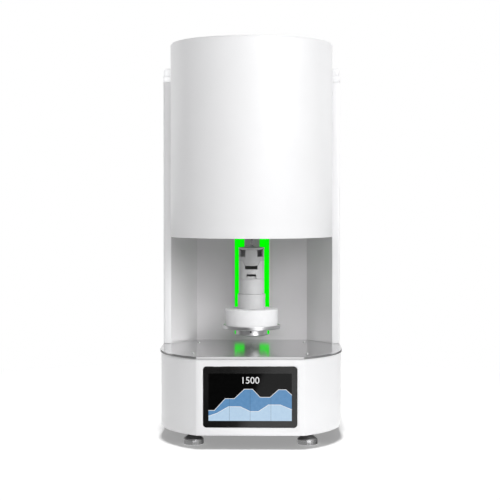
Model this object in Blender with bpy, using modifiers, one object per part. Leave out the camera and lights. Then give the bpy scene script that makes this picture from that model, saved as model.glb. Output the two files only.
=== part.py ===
"""A bench-top dental sintering furnace.

A round furnace head stands on a column over an open loading bay. A motor in the base turns a lead
screw that raises a platform, with its crucible, through the throat of the head. Lengths are in
metres. +Z is up, -Y is the front, and the chamber's axis is the Z axis.
"""

import math

import bmesh
import bpy
from mathutils import Matrix, Vector

# Shared allowances
SEAT_GAP = 0.0003          # between two pieces that rest on each other
SLIP_GAP = 0.0005          # round a piece that slides or drops into another
CUT_OVERRUN = 0.004        # how far a cutter runs past the wall it cuts
WELD = 0.000001            # points this close are one
SHEET = 0.0015             # painted sheet steel

# Facets of a full turn
FINE_STEPS = 72
ROUND_STEPS = 40
SMALL_STEPS = 20
TINY_STEPS = 12

# Base cabinet
BASE_FRONT = 0.2045        # chamber axis to the flat front
BASE_BACK = 0.2052         # chamber axis to the skirt's rear edge
FRONT_FLAT_MARGIN = 0.0123 # beside the touch screen, on the flat front
BASE_BOTTOM_Z = 0.023
ARC_STEPS = 14
DECK_TOP_Z = 0.170
DECK_OVERHANG = 0.0025     # deck rim outside the skirt
DECK_RIM = 0.0042
DECK_EDGE_ROUND = 0.0009
PAN_INSET = 0.0003
PAN_RISE = 0.001           # pan floor above the skirt's lower edge
PAN_SHEET = 0.002
PAN_RIM = 0.010
REAR_PANEL_SETBACK = 0.002 # skirt's rear edge to the rear panel's inner face

# Levelling feet
FOOT_SIDE_INSET = 0.068
FOOT_FRONT_INSET = 0.0475
FOOT_REAR_INSET = 0.0532
FOOT_RADIUS = 0.0192
FOOT_DISC = 0.0106
FOOT_EDGE = 0.0009
FOOT_NECK_RADIUS = 0.0076
FOOT_NECK = 0.0023
FOOT_NECK_GAP = 0.0025     # below the pan
FOOT_STUD_RADIUS = 0.005
FOOT_STUD_REACH = 0.022    # above the pan's floor
FOOT_BOSS_RADIUS = 0.010
FOOT_BOSS_HEIGHT = 0.014

# Touch screen
SCREEN_WIDTH = 0.174
SCREEN_HEIGHT = 0.1129
SCREEN_DROP = 0.00065      # screen's centre below the skirt's middle
SCREEN_CORNER = 0.006
SCREEN_GLASS = 0.003
SCREEN_PROUD = 0.0009
MODULE_SIDE_INSET = 0.006  # behind the glass's edges
MODULE_END_INSET = 0.00745
MODULE_DEPTH = 0.017
BOARD_SIDE_INSET = 0.011   # behind the module's edges
BOARD_END_INSET = 0.004
BOARD_THICKNESS = 0.0016
BOARD_STANDOFF = 0.006
STANDOFF_RADIUS = 0.003
STANDOFF_INSET = 0.006

# Column behind the bay
COLUMN_MARGIN = 0.0165     # head shell to the column's outer face
COLUMN_FRONT_Y = 0.020
COLUMN_BEND = 0.003
WING_CLEARANCE = 0.001     # head shell to the wing's inner edge
REAR_FLANGE = 0.018
COLUMN_DROP = 0.071        # head's upper rim to the column's top
TRIM_HEIGHT = 0.0117
TRIM_PROUD = 0.0006
TRIM_WALL = 0.003
TRIM_CORNER = 0.005
CAP_HEIGHT = 0.0157
CAP_INSET = 0.0012
CAP_EDGE_ROUND = 0.0042
CAP_SHEET = 0.003
REAR_COVER_MARGIN = 0.016  # side panel's outer face to the cover's edge
REAR_COVER_GAP = 0.003     # to the deck, and to the column's top
LOUVRE_LENGTH = 0.084
LOUVRE_HEIGHT = 0.0036
LOUVRE_PITCH = 0.012
LOUVRE_ROWS = 7
LOUVRE_X = 0.068
LOUVRE_RISE = 0.080        # lowest louvre above the deck
LOUVRE_DROP = 0.097        # lowest louvre of the upper field below the column's top

# Loading bay
BAY_HEIGHT = 0.217
BAY_BACK_Y = 0.092
BAY_SPLAY = 0.0485         # each side wall's run across
BAY_SHEET = 0.0012
BAY_TAB = 0.010
SLOT_HALF = 0.0158
SLOT_RISE = 0.012
LIGHT_WIDTH = 0.0200
LIGHT_DEPTH = 0.0035
LIGHT_TOP_GAP = 0.001
LIGHT_EDGE = 0.0007
LIP_GAP_HALF = 0.0026
LIP_LAP = 0.0035
LIP_THICKNESS = 0.002

# Furnace head
HEAD_RADIUS = 0.1615
HEAD_HEIGHT = 0.381
HEAD_LIP = 0.012
HEAD_EDGE = 0.0012
COVER_THICKNESS = 0.002
COVER_INSET = 0.0022
VENT_COUNT = 20
VENT_WIDTH = 0.0036
VENT_INNER_RADIUS = 0.075
VENT_OUTER_RADIUS = 0.118
FLOOR_PLATE = 0.003
THROAT_CLEARANCE = 0.0023  # round the plug
AIR_GAP = 0.0285           # head shell's outer face to the insulation
SHIELD_SHEET = 0.0015
THROAT_RING_HEIGHT = 0.0395
CHAMBER_RADIUS = 0.062
TERMINAL_SPACE = 0.079     # above the element holder
ROOF_THICKNESS = 0.080
SHIELD_RISE = 0.010        # shield above the roof insulation
HOLDER_RADIUS = 0.078
HOLDER_THICKNESS = 0.008

# Heating elements and thermocouple
ELEMENT_COUNT = 4
ELEMENT_RADIUS = 0.003
ELEMENT_CIRCLE = 0.044
ELEMENT_HALF_PITCH = 0.0145
ELEMENT_FLOOR_GAP = 0.012
ELEMENT_STICKOUT = 0.026
ELEMENT_LEG_POINTS = 5
ELEMENT_BEND_POINTS = 9
ELEMENT_BEVEL_STEPS = 2
PROBE_RADIUS = 0.003
PROBE_TIP_BELOW_ROOF = 0.015
PROBE_HEAD_RADIUS = 0.010
PROBE_HEAD_HEIGHT = 0.026

# Lift: rods, screw, motor and carriage
LIFT_Y = 0.119             # plane of the rods and the screw
LIFT_HEADROOM = 0.010      # above the nut at the top of its travel
ROD_X = 0.035
ROD_RADIUS = 0.006
SCREW_RADIUS = 0.006
RUNNING_GAP = 0.0005
CHASSIS_MARGIN = 0.010     # beside the blocks
CHASSIS_FRONT_Y = 0.1513
CHASSIS_PLATE = 0.004
CHASSIS_TOP_GAP = 0.0004
BLOCK_MARGIN = 0.015       # beyond the rods' axes
BLOCK_FRONT_Y = 0.1045
MOTOR_FLOOR_GAP = 0.0074
LOWER_BLOCK = 0.008
UPPER_BLOCK = 0.012
MOTOR_SIDE = 0.056
MOTOR_LENGTH = 0.050
MOTOR_CORNER = 0.004
MOTOR_SOCKET = 0.006
COUPLING_RADIUS = 0.011
COUPLING_GAP = 0.004       # to the lower block, and to the carriage
COUPLING_HEIGHT = 0.022
COUPLING_BORE = 0.011
MOTOR_SHAFT_RADIUS = 0.004
CARRIAGE_MARGIN = 0.013    # beyond the rods' axes
CARRIAGE_DEPTH = 0.030
CARRIAGE_HEIGHT = 0.040
CARRIAGE_EDGE = 0.002
NUT_RADIUS = 0.010
NUT_FLANGE_RADIUS = 0.0142
NUT_FLANGE = 0.004
NUT_LENGTH = 0.030
RISER_HALF = 0.020
RISER_THICKNESS = 0.0064
ARM_HALF = 0.002
ARM_HEIGHT = 0.013
ARM_PAD_HALF = 0.014
ARM_PAD_LENGTH = 0.020
ARM_PAD_HEIGHT = 0.0065
ARM_STEP = 0.001           # from the pad's top down to the bar's, and on to the riser's

# Platform and crucible stack, from the bottom up
HUB_CLEARANCE = 0.019      # above the deck
HUB_RADIUS = 0.0316
HUB_EDGE = 0.0018
HUB_HEIGHT = 0.0135
FLANGE_RADIUS = 0.058
FLANGE_FLOOR = 0.0032
FLANGE_HEIGHT = 0.0076
FLANGE_RIM = 0.0036
FLANGE_EDGE = 0.0014
PLUG_RADIUS = 0.0526
PLUG_HEIGHT = 0.0361
PLUG_EDGE = 0.0016
PEDESTAL_STEP = 0.002      # wider than the tube
PEDESTAL_HEIGHT = 0.0295
SPIGOT_HEIGHT = 0.0055
TUBE_RADIUS = 0.0254
TUBE_WALL = 0.0055
TUBE_HEIGHT = 0.0301
TUBE_SPIGOT_WALL = 0.004
CRUCIBLE_WALL = 0.004
LOWER_CRUCIBLE_HEIGHT = 0.0352
LOWER_FLOOR_RISE = 0.0106
CRUCIBLE_FLOOR = 0.0032
UPPER_CRUCIBLE_HEIGHT = 0.0236
TONGUE_DROP = 0.0094
TONGUE_TOP_HALF = 0.0170
TONGUE_TIP_HALF = 0.0121
TONGUE_GAP = 0.0004
VENT_SLOT_DROP = 0.0067
FOOT_NOTCH_LOW_HALF = 0.0112
FOOT_NOTCH_HIGH_HALF = 0.0086
FOOT_NOTCH_HEIGHT = 0.0095
WINDOW_ANGLE = math.radians(47)
WINDOW_HALF = 0.0082
WINDOW_FLARE_HALF = 0.0104
WINDOW_HEIGHT = 0.0150
WINDOW_FLARE_HEIGHT = 0.0045
LID_THICKNESS = 0.0030
LID_OVERHANG = 0.0006
LID_SPIGOT = 0.0022

# Electrics in the base
TRANSFORMER_INSET = 0.1005
TRANSFORMER_Y = -0.060
TRANSFORMER_CORE = (0.096, 0.050, 0.080)
TRANSFORMER_COIL = (0.066, 0.076, 0.052)
COIL_CORNER = 0.008
SUPPLY_INSET = 0.0905
SUPPLY_Y = -0.030
SUPPLY_SIZE = (0.098, 0.160, 0.042)
SUPPLY_EDGE = 0.0015
FAN_INSET = 0.0735
FAN_RISE = 0.068
FAN_SIDE = 0.080
FAN_DEPTH = 0.025
FAN_RIM = 0.0025
FAN_CORNER = 0.005
FAN_SPIDER = 0.004
FAN_STATOR_RADIUS = 0.016
FAN_STRUT_HALF = 0.0025
FAN_HUB_RADIUS = 0.017
FAN_HUB_DEPTH = 0.016
FAN_BLADES = 7
FAN_TIP_GAP = 0.002
FAN_BLADE_THICKNESS = 0.0016
FAN_BLADE_DEPTH = 0.012
FAN_BLADE_PITCH = math.radians(38)
INLET_INSET = 0.0575
INLET_RISE = 0.040
INLET_FLANGE = (0.031, 0.0246)
INLET_BODY = (0.0274, 0.0200)
INLET_SOCKET = (0.0230, 0.0156)
INLET_BODY_DEPTH = 0.018
INLET_SOCKET_DEPTH = 0.014
FITTING_FLANGE = 0.0017
FITTING_CORNER = 0.003
SWITCH_PITCH = 0.044       # inlet's centre to the switch's
SWITCH_FLANGE = (0.0200, 0.0300)
SWITCH_BODY = (0.0170, 0.0270)
SWITCH_WELL = (0.0124, 0.0210)
SWITCH_WELL_DEPTH = 0.012
ROCKER_THROW = math.radians(14)
ROCKER_DEPTH = 0.0084
ROCKER_SINK = 0.0009

# Widths and places in plan that follow from the sizes above
COLUMN_WIDTH = 2 * (HEAD_RADIUS + COLUMN_MARGIN)
BASE_WIDTH = COLUMN_WIDTH - 2 * DECK_OVERHANG
FRONT_FLAT_HALF = SCREEN_WIDTH / 2 + FRONT_FLAT_MARGIN
MODULE_WIDTH = SCREEN_WIDTH - 2 * MODULE_SIDE_INSET
MODULE_HEIGHT = SCREEN_HEIGHT - 2 * MODULE_END_INSET
BOARD_WIDTH = MODULE_WIDTH - 2 * BOARD_SIDE_INSET
BOARD_HEIGHT = MODULE_HEIGHT - 2 * BOARD_END_INSET
SCREEN_BACK_Y = SCREEN_GLASS - SCREEN_PROUD - BASE_FRONT
MODULE_FRONT_Y = SCREEN_BACK_Y + SEAT_GAP
REAR_PANEL_Y = BASE_BACK - REAR_PANEL_SETBACK
REAR_PANEL_OUT_Y = REAR_PANEL_Y + SHEET
FOOT_X = BASE_WIDTH / 2 - FOOT_SIDE_INSET
FOOT_FRONT_Y = FOOT_FRONT_INSET - BASE_FRONT
FOOT_REAR_Y = BASE_BACK - FOOT_REAR_INSET
WING_INNER_X = HEAD_RADIUS + WING_CLEARANCE
BAY_BACK_HALF = WING_INNER_X - BAY_SPLAY
HEAD_HOLE_RADIUS = HEAD_RADIUS + SLIP_GAP
THROAT_RADIUS = PLUG_RADIUS + THROAT_CLEARANCE
INSULATION_RADIUS = HEAD_RADIUS - AIR_GAP
PEDESTAL_RADIUS = TUBE_RADIUS + PEDESTAL_STEP
CARRIAGE_HALF = ROD_X + CARRIAGE_MARGIN
BLOCK_HALF = ROD_X + BLOCK_MARGIN
CHASSIS_HALF = BLOCK_HALF + CHASSIS_MARGIN
CARRIAGE_FRONT_Y = LIFT_Y - CARRIAGE_DEPTH / 2
TRANSFORMER_X = BASE_WIDTH / 2 - TRANSFORMER_INSET
SUPPLY_X = SUPPLY_INSET - BASE_WIDTH / 2
FAN_X = FAN_INSET - BASE_WIDTH / 2
FAN_BORE = FAN_SIDE / 2 - FAN_RIM
FAN_BLADE_TIP = FAN_BORE - FAN_TIP_GAP
INLET_X = BASE_WIDTH / 2 - INLET_INSET
SWITCH_X = INLET_X - SWITCH_PITCH

# Heights that follow from the sizes above
SKIRT_TOP_Z = DECK_TOP_Z - SHEET - SEAT_GAP
DECK_LOW_Z = DECK_TOP_Z - DECK_RIM
SCREEN_CENTRE_Z = (BASE_BOTTOM_Z + SKIRT_TOP_Z) / 2 - SCREEN_DROP
PAN_LOW_Z = BASE_BOTTOM_Z + PAN_RISE
PAN_TOP_Z = PAN_LOW_Z + PAN_SHEET
ON_PAN_Z = PAN_TOP_Z + SEAT_GAP
ON_DECK_Z = DECK_TOP_Z + SEAT_GAP
FOOT_NECK_TOP_Z = PAN_LOW_Z - FOOT_NECK_GAP
FOOT_CONE_TOP_Z = FOOT_NECK_TOP_Z - FOOT_NECK
FOOT_STUD_TOP_Z = PAN_TOP_Z + FOOT_STUD_REACH
FAN_Z = PAN_TOP_Z + FAN_RISE
INLET_Z = PAN_TOP_Z + INLET_RISE
SLOT_LOW_Z = DECK_TOP_Z + SLOT_RISE
HEAD_BOTTOM_Z = DECK_TOP_Z + BAY_HEIGHT
HEAD_LIP_Z = HEAD_BOTTOM_Z + HEAD_HEIGHT
BAY_TOP_Z = HEAD_BOTTOM_Z - SEAT_GAP
COLUMN_TOP_Z = HEAD_LIP_Z - COLUMN_DROP
TRIM_LOW_Z = COLUMN_TOP_Z + SEAT_GAP
CAP_LOW_Z = TRIM_LOW_Z + TRIM_HEIGHT + SEAT_GAP
REAR_COVER_LOW_Z = DECK_TOP_Z + REAR_COVER_GAP
REAR_COVER_HIGH_Z = COLUMN_TOP_Z - REAR_COVER_GAP
FLOOR_PLATE_Z = HEAD_BOTTOM_Z + SEAT_GAP
THROAT_RING_Z = FLOOR_PLATE_Z + FLOOR_PLATE + SEAT_GAP
CHAMBER_LOW_Z = THROAT_RING_Z + THROAT_RING_HEIGHT + SEAT_GAP
HOLDER_Z = HEAD_LIP_Z - TERMINAL_SPACE - HOLDER_THICKNESS
ROOF_Z = HOLDER_Z - SEAT_GAP - ROOF_THICKNESS
CHAMBER_HEIGHT = ROOF_Z - SEAT_GAP - CHAMBER_LOW_Z
HUB_LOW_Z = DECK_TOP_Z + HUB_CLEARANCE
FLANGE_Z = HUB_LOW_Z + HUB_HEIGHT + SEAT_GAP
PLUG_Z = FLANGE_Z + FLANGE_FLOOR + SEAT_GAP
PEDESTAL_Z = PLUG_Z + PLUG_HEIGHT + SEAT_GAP
TUBE_Z = PEDESTAL_Z + PEDESTAL_HEIGHT + SEAT_GAP
LOWER_CRUCIBLE_Z = TUBE_Z + TUBE_HEIGHT + SEAT_GAP
UPPER_CRUCIBLE_Z = LOWER_CRUCIBLE_Z + LOWER_CRUCIBLE_HEIGHT + SEAT_GAP
LID_Z = UPPER_CRUCIBLE_Z + UPPER_CRUCIBLE_HEIGHT + SEAT_GAP
LOWER_BLOCK_Z = ON_PAN_Z + MOTOR_FLOOR_GAP + MOTOR_LENGTH + SEAT_GAP
COUPLING_LOW_Z = LOWER_BLOCK_Z + LOWER_BLOCK + COUPLING_GAP
CARRIAGE_LOW_Z = COUPLING_LOW_Z + COUPLING_HEIGHT + COUPLING_GAP
LIFT_TRAVEL = HEAD_BOTTOM_Z - FLANGE_Z - FLANGE_HEIGHT - 2 * SEAT_GAP
UPPER_BLOCK_Z = CARRIAGE_LOW_Z + CARRIAGE_HEIGHT + NUT_FLANGE + LIFT_TRAVEL + LIFT_HEADROOM


def clear_scene():
    for obj in list(bpy.data.objects):
        bpy.data.objects.remove(obj, do_unlink=True)


def new_collection(name):
    made = bpy.data.collections.new(name)
    bpy.context.scene.collection.children.link(made)
    return made


def material(name, colour, roughness, metallic=0.0, glow=None):
    made = bpy.data.materials.new(name)
    made.use_nodes = True
    shader = made.node_tree.nodes["Principled BSDF"]
    shader.inputs["Base Color"].default_value = (*colour, 1.0)
    shader.inputs["Roughness"].default_value = roughness
    shader.inputs["Metallic"].default_value = metallic
    if glow:
        shader.inputs["Emission Color"].default_value = (*colour, 1.0)
        shader.inputs["Emission Strength"].default_value = glow
    return made


def make_materials():
    return {
        "white_paint": material("white_paint", (0.86, 0.86, 0.87), 0.32),
        "bay_paint": material("bay_paint", (0.62, 0.62, 0.63), 0.42),
        "steel": material("steel", (0.62, 0.62, 0.63), 0.28, 1.0),
        "brushed_steel": material("brushed_steel", (0.56, 0.56, 0.57), 0.36, 1.0),
        "dark_steel": material("dark_steel", (0.24, 0.24, 0.25), 0.45, 1.0),
        "chrome": material("chrome", (0.70, 0.70, 0.71), 0.12, 1.0),
        "aluminium": material("aluminium", (0.70, 0.71, 0.72), 0.38, 1.0),
        "glass_black": material("glass_black", (0.02, 0.02, 0.022), 0.08),
        "black_plastic": material("black_plastic", (0.03, 0.03, 0.032), 0.45),
        "grey_rubber": material("grey_rubber", (0.16, 0.16, 0.165), 0.75),
        "light_green": material("light_green", (0.0, 1.0, 0.04), 0.30, glow=1.0),
        "fibre": material("fibre", (0.90, 0.89, 0.87), 0.90),
        "ceramic": material("ceramic", (0.74, 0.74, 0.745), 0.50),
        "element": material("element", (0.20, 0.20, 0.22), 0.55, 0.6),
        "board": material("board", (0.03, 0.22, 0.10), 0.50),
        "brass": material("brass", (0.72, 0.55, 0.24), 0.35, 1.0),
    }


def add(obj, finish):
    """Puts a finished piece in the furnace's collection, with its material."""
    for holder in list(obj.users_collection):
        holder.objects.unlink(obj)
    furnace.objects.link(obj)
    obj.data.materials.clear()
    obj.data.materials.append(finishes[finish])
    return obj


def as_tool(obj):
    """Marks an object as a cutter or as a shape that a union takes in."""
    for holder in list(obj.users_collection):
        holder.objects.unlink(obj)
    tools.objects.link(obj)
    obj.hide_render = True
    obj.display_type = "WIRE"
    return obj


def mesh_object(name, form):
    """An object from a bmesh, with its faces pointing out."""
    bmesh.ops.recalc_face_normals(form, faces=form.faces)
    mesh = bpy.data.meshes.new(name)
    form.to_mesh(mesh)
    form.free()
    obj = bpy.data.objects.new(name, mesh)
    bpy.context.scene.collection.objects.link(obj)
    return obj


def smooth(obj):
    obj.data.shade_smooth()
    obj.data.set_sharp_from_angle(angle=math.radians(35))
    return obj


def from_curve(curve_object):
    """A welded mesh object in the place of a curve object, which is removed."""
    bpy.context.view_layer.update()
    graph = bpy.context.evaluated_depsgraph_get()
    mesh = bpy.data.meshes.new_from_object(curve_object.evaluated_get(graph))
    name = curve_object.name
    matrix = curve_object.matrix_world.copy()
    bpy.data.objects.remove(curve_object, do_unlink=True)
    form = bmesh.new()
    form.from_mesh(mesh)
    bmesh.ops.remove_doubles(form, verts=form.verts, dist=WELD)
    obj = mesh_object(name, form)
    obj.matrix_world = matrix
    return obj


# How an outline's own X, Y and thickness lie in the furnace, for each direction of thickness
PLATE_TURNS = {
    "Z": Matrix.Identity(4),
    "Y": Matrix(((1, 0, 0, 0), (0, 0, -1, 0), (0, 1, 0, 0), (0, 0, 0, 1))),
    "X": Matrix(((0, 0, 1, 0), (1, 0, 0, 0), (0, 1, 0, 0), (0, 0, 0, 1))),
}


def plate(name, outline, low, high, through="Z"):
    """A flat outline with its thickness from low to high along one axis."""
    curve = bpy.data.curves.new(name, "CURVE")
    curve.dimensions = "2D"
    curve.fill_mode = "BOTH"
    curve.extrude = (high - low) / 2
    spline = curve.splines.new("POLY")
    spline.points.add(len(outline) - 1)
    for point, (across, along) in zip(spline.points, outline):
        point.co = (across, along, 0, 1)
    spline.use_cyclic_u = True
    obj = bpy.data.objects.new(name, curve)
    bpy.context.scene.collection.objects.link(obj)
    middle = {"Z": (0, 0, 1), "Y": (0, 1, 0), "X": (1, 0, 0)}[through]
    shift = Matrix.Translation(Vector(middle) * (low + high) / 2)
    obj.matrix_world = shift @ PLATE_TURNS[through]
    return from_curve(obj)


def block(name, low, high, edge=0.0, segments=2):
    """A box between two corners, with its edges rounded if an edge radius is given."""
    low, high = Vector(low), Vector(high)
    form = bmesh.new()
    bmesh.ops.create_cube(form, size=1.0)
    bmesh.ops.scale(form, vec=high - low, verts=form.verts)
    obj = mesh_object(name, form)
    obj.location = (low + high) / 2
    if edge:
        rounding = obj.modifiers.new("edges", "BEVEL")
        rounding.width = edge
        rounding.segments = segments
    return obj


def turned(name, profile, at=(0, 0), axis="Z", along=0.0, steps=ROUND_STEPS):
    """A solid of revolution. The profile holds (radius, height) pairs, down the outer side first.

    A profile that starts and ends on the axis is left open there, and any other is closed."""
    mesh = bpy.data.meshes.new(name)
    touches = profile[0][0] == 0 and profile[-1][0] == 0
    edges = [(i, i + 1) for i in range(len(profile) - 1)]
    if not touches:
        edges.append((len(profile) - 1, 0))
    mesh.from_pydata([(radius, 0, height) for radius, height in profile], edges, [])
    obj = bpy.data.objects.new(name, mesh)
    bpy.context.scene.collection.objects.link(obj)
    screw = obj.modifiers.new("turn", "SCREW")
    screw.steps = steps
    screw.render_steps = steps
    screw.use_merge_vertices = True
    screw.merge_threshold = WELD
    screw.use_smooth_shade = True
    if axis == "Z":
        obj.location = (at[0], at[1], along)
    else:
        obj.location = (at[0], along, at[1])
        obj.rotation_euler = (math.radians(-90), 0, 0)
    return obj


def drum(name, radius, low, high, at=(0, 0), axis="Z", steps=ROUND_STEPS):
    """A plain cylinder from low to high."""
    form = bmesh.new()
    bmesh.ops.create_cone(
        form, cap_ends=True, segments=steps, radius1=radius, radius2=radius, depth=high - low
    )
    obj = mesh_object(name, form)
    middle = (low + high) / 2
    if axis == "Z":
        obj.location = (at[0], at[1], middle)
    else:
        obj.location = (at[0], middle, at[1])
        obj.rotation_euler = (math.radians(-90), 0, 0)
    return smooth(obj)


def boolean(obj, other, operation):
    joined = obj.modifiers.new(operation.lower(), "BOOLEAN")
    joined.operation = operation
    joined.object = as_tool(other)
    return obj


def cut(obj, *cutters):
    for cutter in cutters:
        boolean(obj, cutter, "DIFFERENCE")
    return obj


def join(obj, *others):
    for other in others:
        boolean(obj, other, "UNION")
    return obj


def turn_about_axis(obj, angle):
    """Turns an object about the chamber's axis."""
    obj.matrix_world = Matrix.Rotation(angle, 4, "Z") @ obj.matrix_world
    return obj


def rounded_rectangle(width, height, corner, centre=(0, 0), steps=4):
    """Points of a rectangle with round corners, counterclockwise."""
    points = []
    for quarter, (side, end) in enumerate(((1, 1), (-1, 1), (-1, -1), (1, -1))):
        pivot = (
            centre[0] + side * (width / 2 - corner),
            centre[1] + end * (height / 2 - corner),
        )
        for step in range(steps + 1):
            angle = math.radians(90) * (quarter + step / steps)
            points.append(
                (pivot[0] + corner * math.cos(angle), pivot[1] + corner * math.sin(angle))
            )
    return points


def rectangle(low, high):
    return [(low[0], low[1]), (high[0], low[1]), (high[0], high[1]), (low[0], high[1])]


def bent_path(corners, radius, steps=3):
    """An open path through corners, each inner corner bent round to a radius."""
    path = [Vector(corners[0])]
    for before, corner, after in zip(corners, corners[1:], corners[2:]):
        corner = Vector(corner)
        to_before = (Vector(before) - corner).normalized()
        to_after = (Vector(after) - corner).normalized()
        half_angle = to_before.angle(to_after) / 2
        reach = radius / math.tan(half_angle)
        centre = corner + (to_before + to_after).normalized() * radius / math.sin(half_angle)
        start = corner + to_before * reach - centre
        sweep = start.angle_signed(corner + to_after * reach - centre)
        for step in range(steps + 1):
            turned_by = Matrix.Rotation(-sweep * step / steps, 2)
            path.append(centre + turned_by @ start)
    path.append(Vector(corners[-1]))
    return path


def sheet_outline(path, thickness):
    """The outline of a folded sheet: the path, and back along it on its left side."""
    inner = []
    last = len(path) - 1
    for i, point in enumerate(path):
        before = path[max(i - 1, 0)]
        after = path[min(i + 1, last)]
        sides = []
        for start, end in ((before, point), (point, after)):
            if (end - start).length > WELD:
                run = (end - start).normalized()
                sides.append(Vector((-run.y, run.x)))
        normal = sum(sides, Vector((0, 0))).normalized()
        inner.append(point + normal * thickness / normal.dot(sides[0]))
    return [tuple(p) for p in path] + [tuple(p) for p in reversed(inner)]


def base_path(inset):
    """The base's plan from its rear right corner round the front to its rear left corner."""
    arc_y = math.sqrt((BASE_WIDTH / 2) ** 2 - FRONT_FLAT_HALF**2) - BASE_FRONT
    half = BASE_WIDTH / 2 - inset
    end_angle = math.asin((BASE_FRONT - inset + arc_y) / half)
    angles = [end_angle * i / ARC_STEPS for i in range(ARC_STEPS + 1)]
    right = [(half * math.cos(a), arc_y - half * math.sin(a)) for a in angles]
    return right + [(-x, y) for x, y in reversed(right)]


def base_outline(inset, back):
    half = BASE_WIDTH / 2 - inset
    around = base_path(inset)
    return [(half, back)] + around + [(-half, back)]


def round_top_edges(obj, top_z, radius, segments, keep=None):
    """Rounds the outline edges of an unrotated plate's upper face."""
    form = bmesh.new()
    form.from_mesh(obj.data)
    local_top = top_z - obj.location.z
    rim = [
        edge
        for edge in form.edges
        if all(abs(v.co.z - local_top) < WELD * 10 for v in edge.verts)
        and any(face.normal.z < 0.5 for face in edge.link_faces)
        and (keep is None or all(keep(v.co) for v in edge.verts))
    ]
    bmesh.ops.bevel(
        form, geom=rim, offset=radius, segments=segments, profile=0.5, affect="EDGES"
    )
    form.to_mesh(obj.data)
    form.free()
    return smooth(obj)


def body_empty(name, at):
    """An empty on a joint's axis, which carries the pieces that move with that joint."""
    empty = bpy.data.objects.new(name, None)
    empty.location = at
    furnace.objects.link(empty)
    return empty


def carry(empty, *pieces):
    bpy.context.view_layer.update()
    for piece in pieces:
        piece.parent = empty
        piece.matrix_parent_inverse = empty.matrix_world.inverted()


# Base cabinet


def make_skirt():
    path = [Vector(p) for p in base_path(0.0)]
    half = BASE_WIDTH / 2
    ends = (Vector((half, BASE_BACK)), Vector((-half, BASE_BACK)))
    around = [ends[0]] + path + [ends[1]]
    outline = sheet_outline([Vector((-p.x, p.y)) for p in around], SHEET)
    skirt = plate("base_skirt", outline, BASE_BOTTOM_Z, SKIRT_TOP_Z)
    window = rounded_rectangle(
        SCREEN_WIDTH + 2 * SLIP_GAP, SCREEN_HEIGHT + 2 * SLIP_GAP, SCREEN_CORNER, (0, SCREEN_CENTRE_Z)
    )
    opening = plate(
        "screen_window", window, -BASE_FRONT - CUT_OVERRUN, -BASE_FRONT + CUT_OVERRUN, "Y"
    )
    cut(skirt, opening)
    return add(smooth(skirt), "white_paint")


def make_pan():
    inset = SHEET + PAN_INSET
    back = REAR_PANEL_Y - SEAT_GAP
    pan = plate("base_pan", base_outline(inset, back), PAN_LOW_Z, PAN_LOW_Z + PAN_RIM)
    hollow = plate(
        "pan_hollow",
        base_outline(inset + PAN_SHEET, back - PAN_SHEET),
        PAN_TOP_Z,
        PAN_LOW_Z + PAN_RIM + CUT_OVERRUN,
    )
    cut(pan, hollow)
    for place in foot_places():
        boss = drum(
            "foot_boss", FOOT_BOSS_RADIUS, PAN_TOP_Z - PAN_SHEET / 2,
            PAN_TOP_Z + FOOT_BOSS_HEIGHT, place, steps=SMALL_STEPS,
        )
        join(pan, boss)
    for place in foot_places():
        hole = drum(
            "foot_hole", FOOT_STUD_RADIUS + SEAT_GAP, PAN_LOW_Z - CUT_OVERRUN,
            PAN_TOP_Z + FOOT_BOSS_HEIGHT + CUT_OVERRUN, place, steps=SMALL_STEPS,
        )
        cut(pan, hole)
    return add(pan, "dark_steel")


def make_deck():
    inset = -DECK_OVERHANG
    deck = plate("deck_plate", base_outline(inset, BASE_BACK), DECK_LOW_Z, DECK_TOP_Z)
    rear = BASE_BACK - WELD * 10
    round_top_edges(deck, DECK_TOP_Z, DECK_EDGE_ROUND, 2, keep=lambda co: co.y < rear)
    underside = plate(
        "deck_underside",
        base_outline(inset + SHEET, BASE_BACK + CUT_OVERRUN),
        DECK_LOW_Z - CUT_OVERRUN,
        DECK_TOP_Z - SHEET,
    )
    well_front = CARRIAGE_FRONT_Y - SEAT_GAP - RISER_THICKNESS - SLIP_GAP
    well_back = CHASSIS_FRONT_Y + CHASSIS_PLATE + SLIP_GAP
    half = CHASSIS_HALF + SLIP_GAP
    well = block(
        "lift_well",
        (-half, well_front, DECK_TOP_Z - SHEET - CUT_OVERRUN),
        (half, well_back, DECK_TOP_Z + CUT_OVERRUN),
    )
    cut(deck, underside, well)
    return add(deck, "brushed_steel")


def make_base_rear_panel():
    half = BASE_WIDTH / 2 - SHEET - SLIP_GAP
    low = PAN_LOW_Z
    panel = plate(
        "base_rear_panel",
        rectangle((-half, low), (half, SKIRT_TOP_Z)),
        REAR_PANEL_Y,
        REAR_PANEL_OUT_Y,
        "Y",
    )
    front = REAR_PANEL_Y - CUT_OVERRUN
    back = REAR_PANEL_OUT_Y + CUT_OVERRUN
    fan_hole = drum("fan_hole", FAN_BORE, front, back, (FAN_X, FAN_Z), "Y")
    holes = [
        plate(
            name,
            rounded_rectangle(
                size[0] + 2 * SEAT_GAP, size[1] + 2 * SEAT_GAP, FITTING_CORNER, centre
            ),
            front,
            back,
            "Y",
        )
        for name, size, centre in (
            ("inlet_hole", INLET_BODY, (INLET_X, INLET_Z)),
            ("switch_hole", SWITCH_BODY, (SWITCH_X, INLET_Z)),
        )
    ]
    cut(panel, fan_hole, *holes)
    return add(panel, "white_paint")


def foot_places():
    return [
        (-FOOT_X, FOOT_FRONT_Y),
        (FOOT_X, FOOT_FRONT_Y),
        (-FOOT_X, FOOT_REAR_Y),
        (FOOT_X, FOOT_REAR_Y),
    ]


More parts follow.
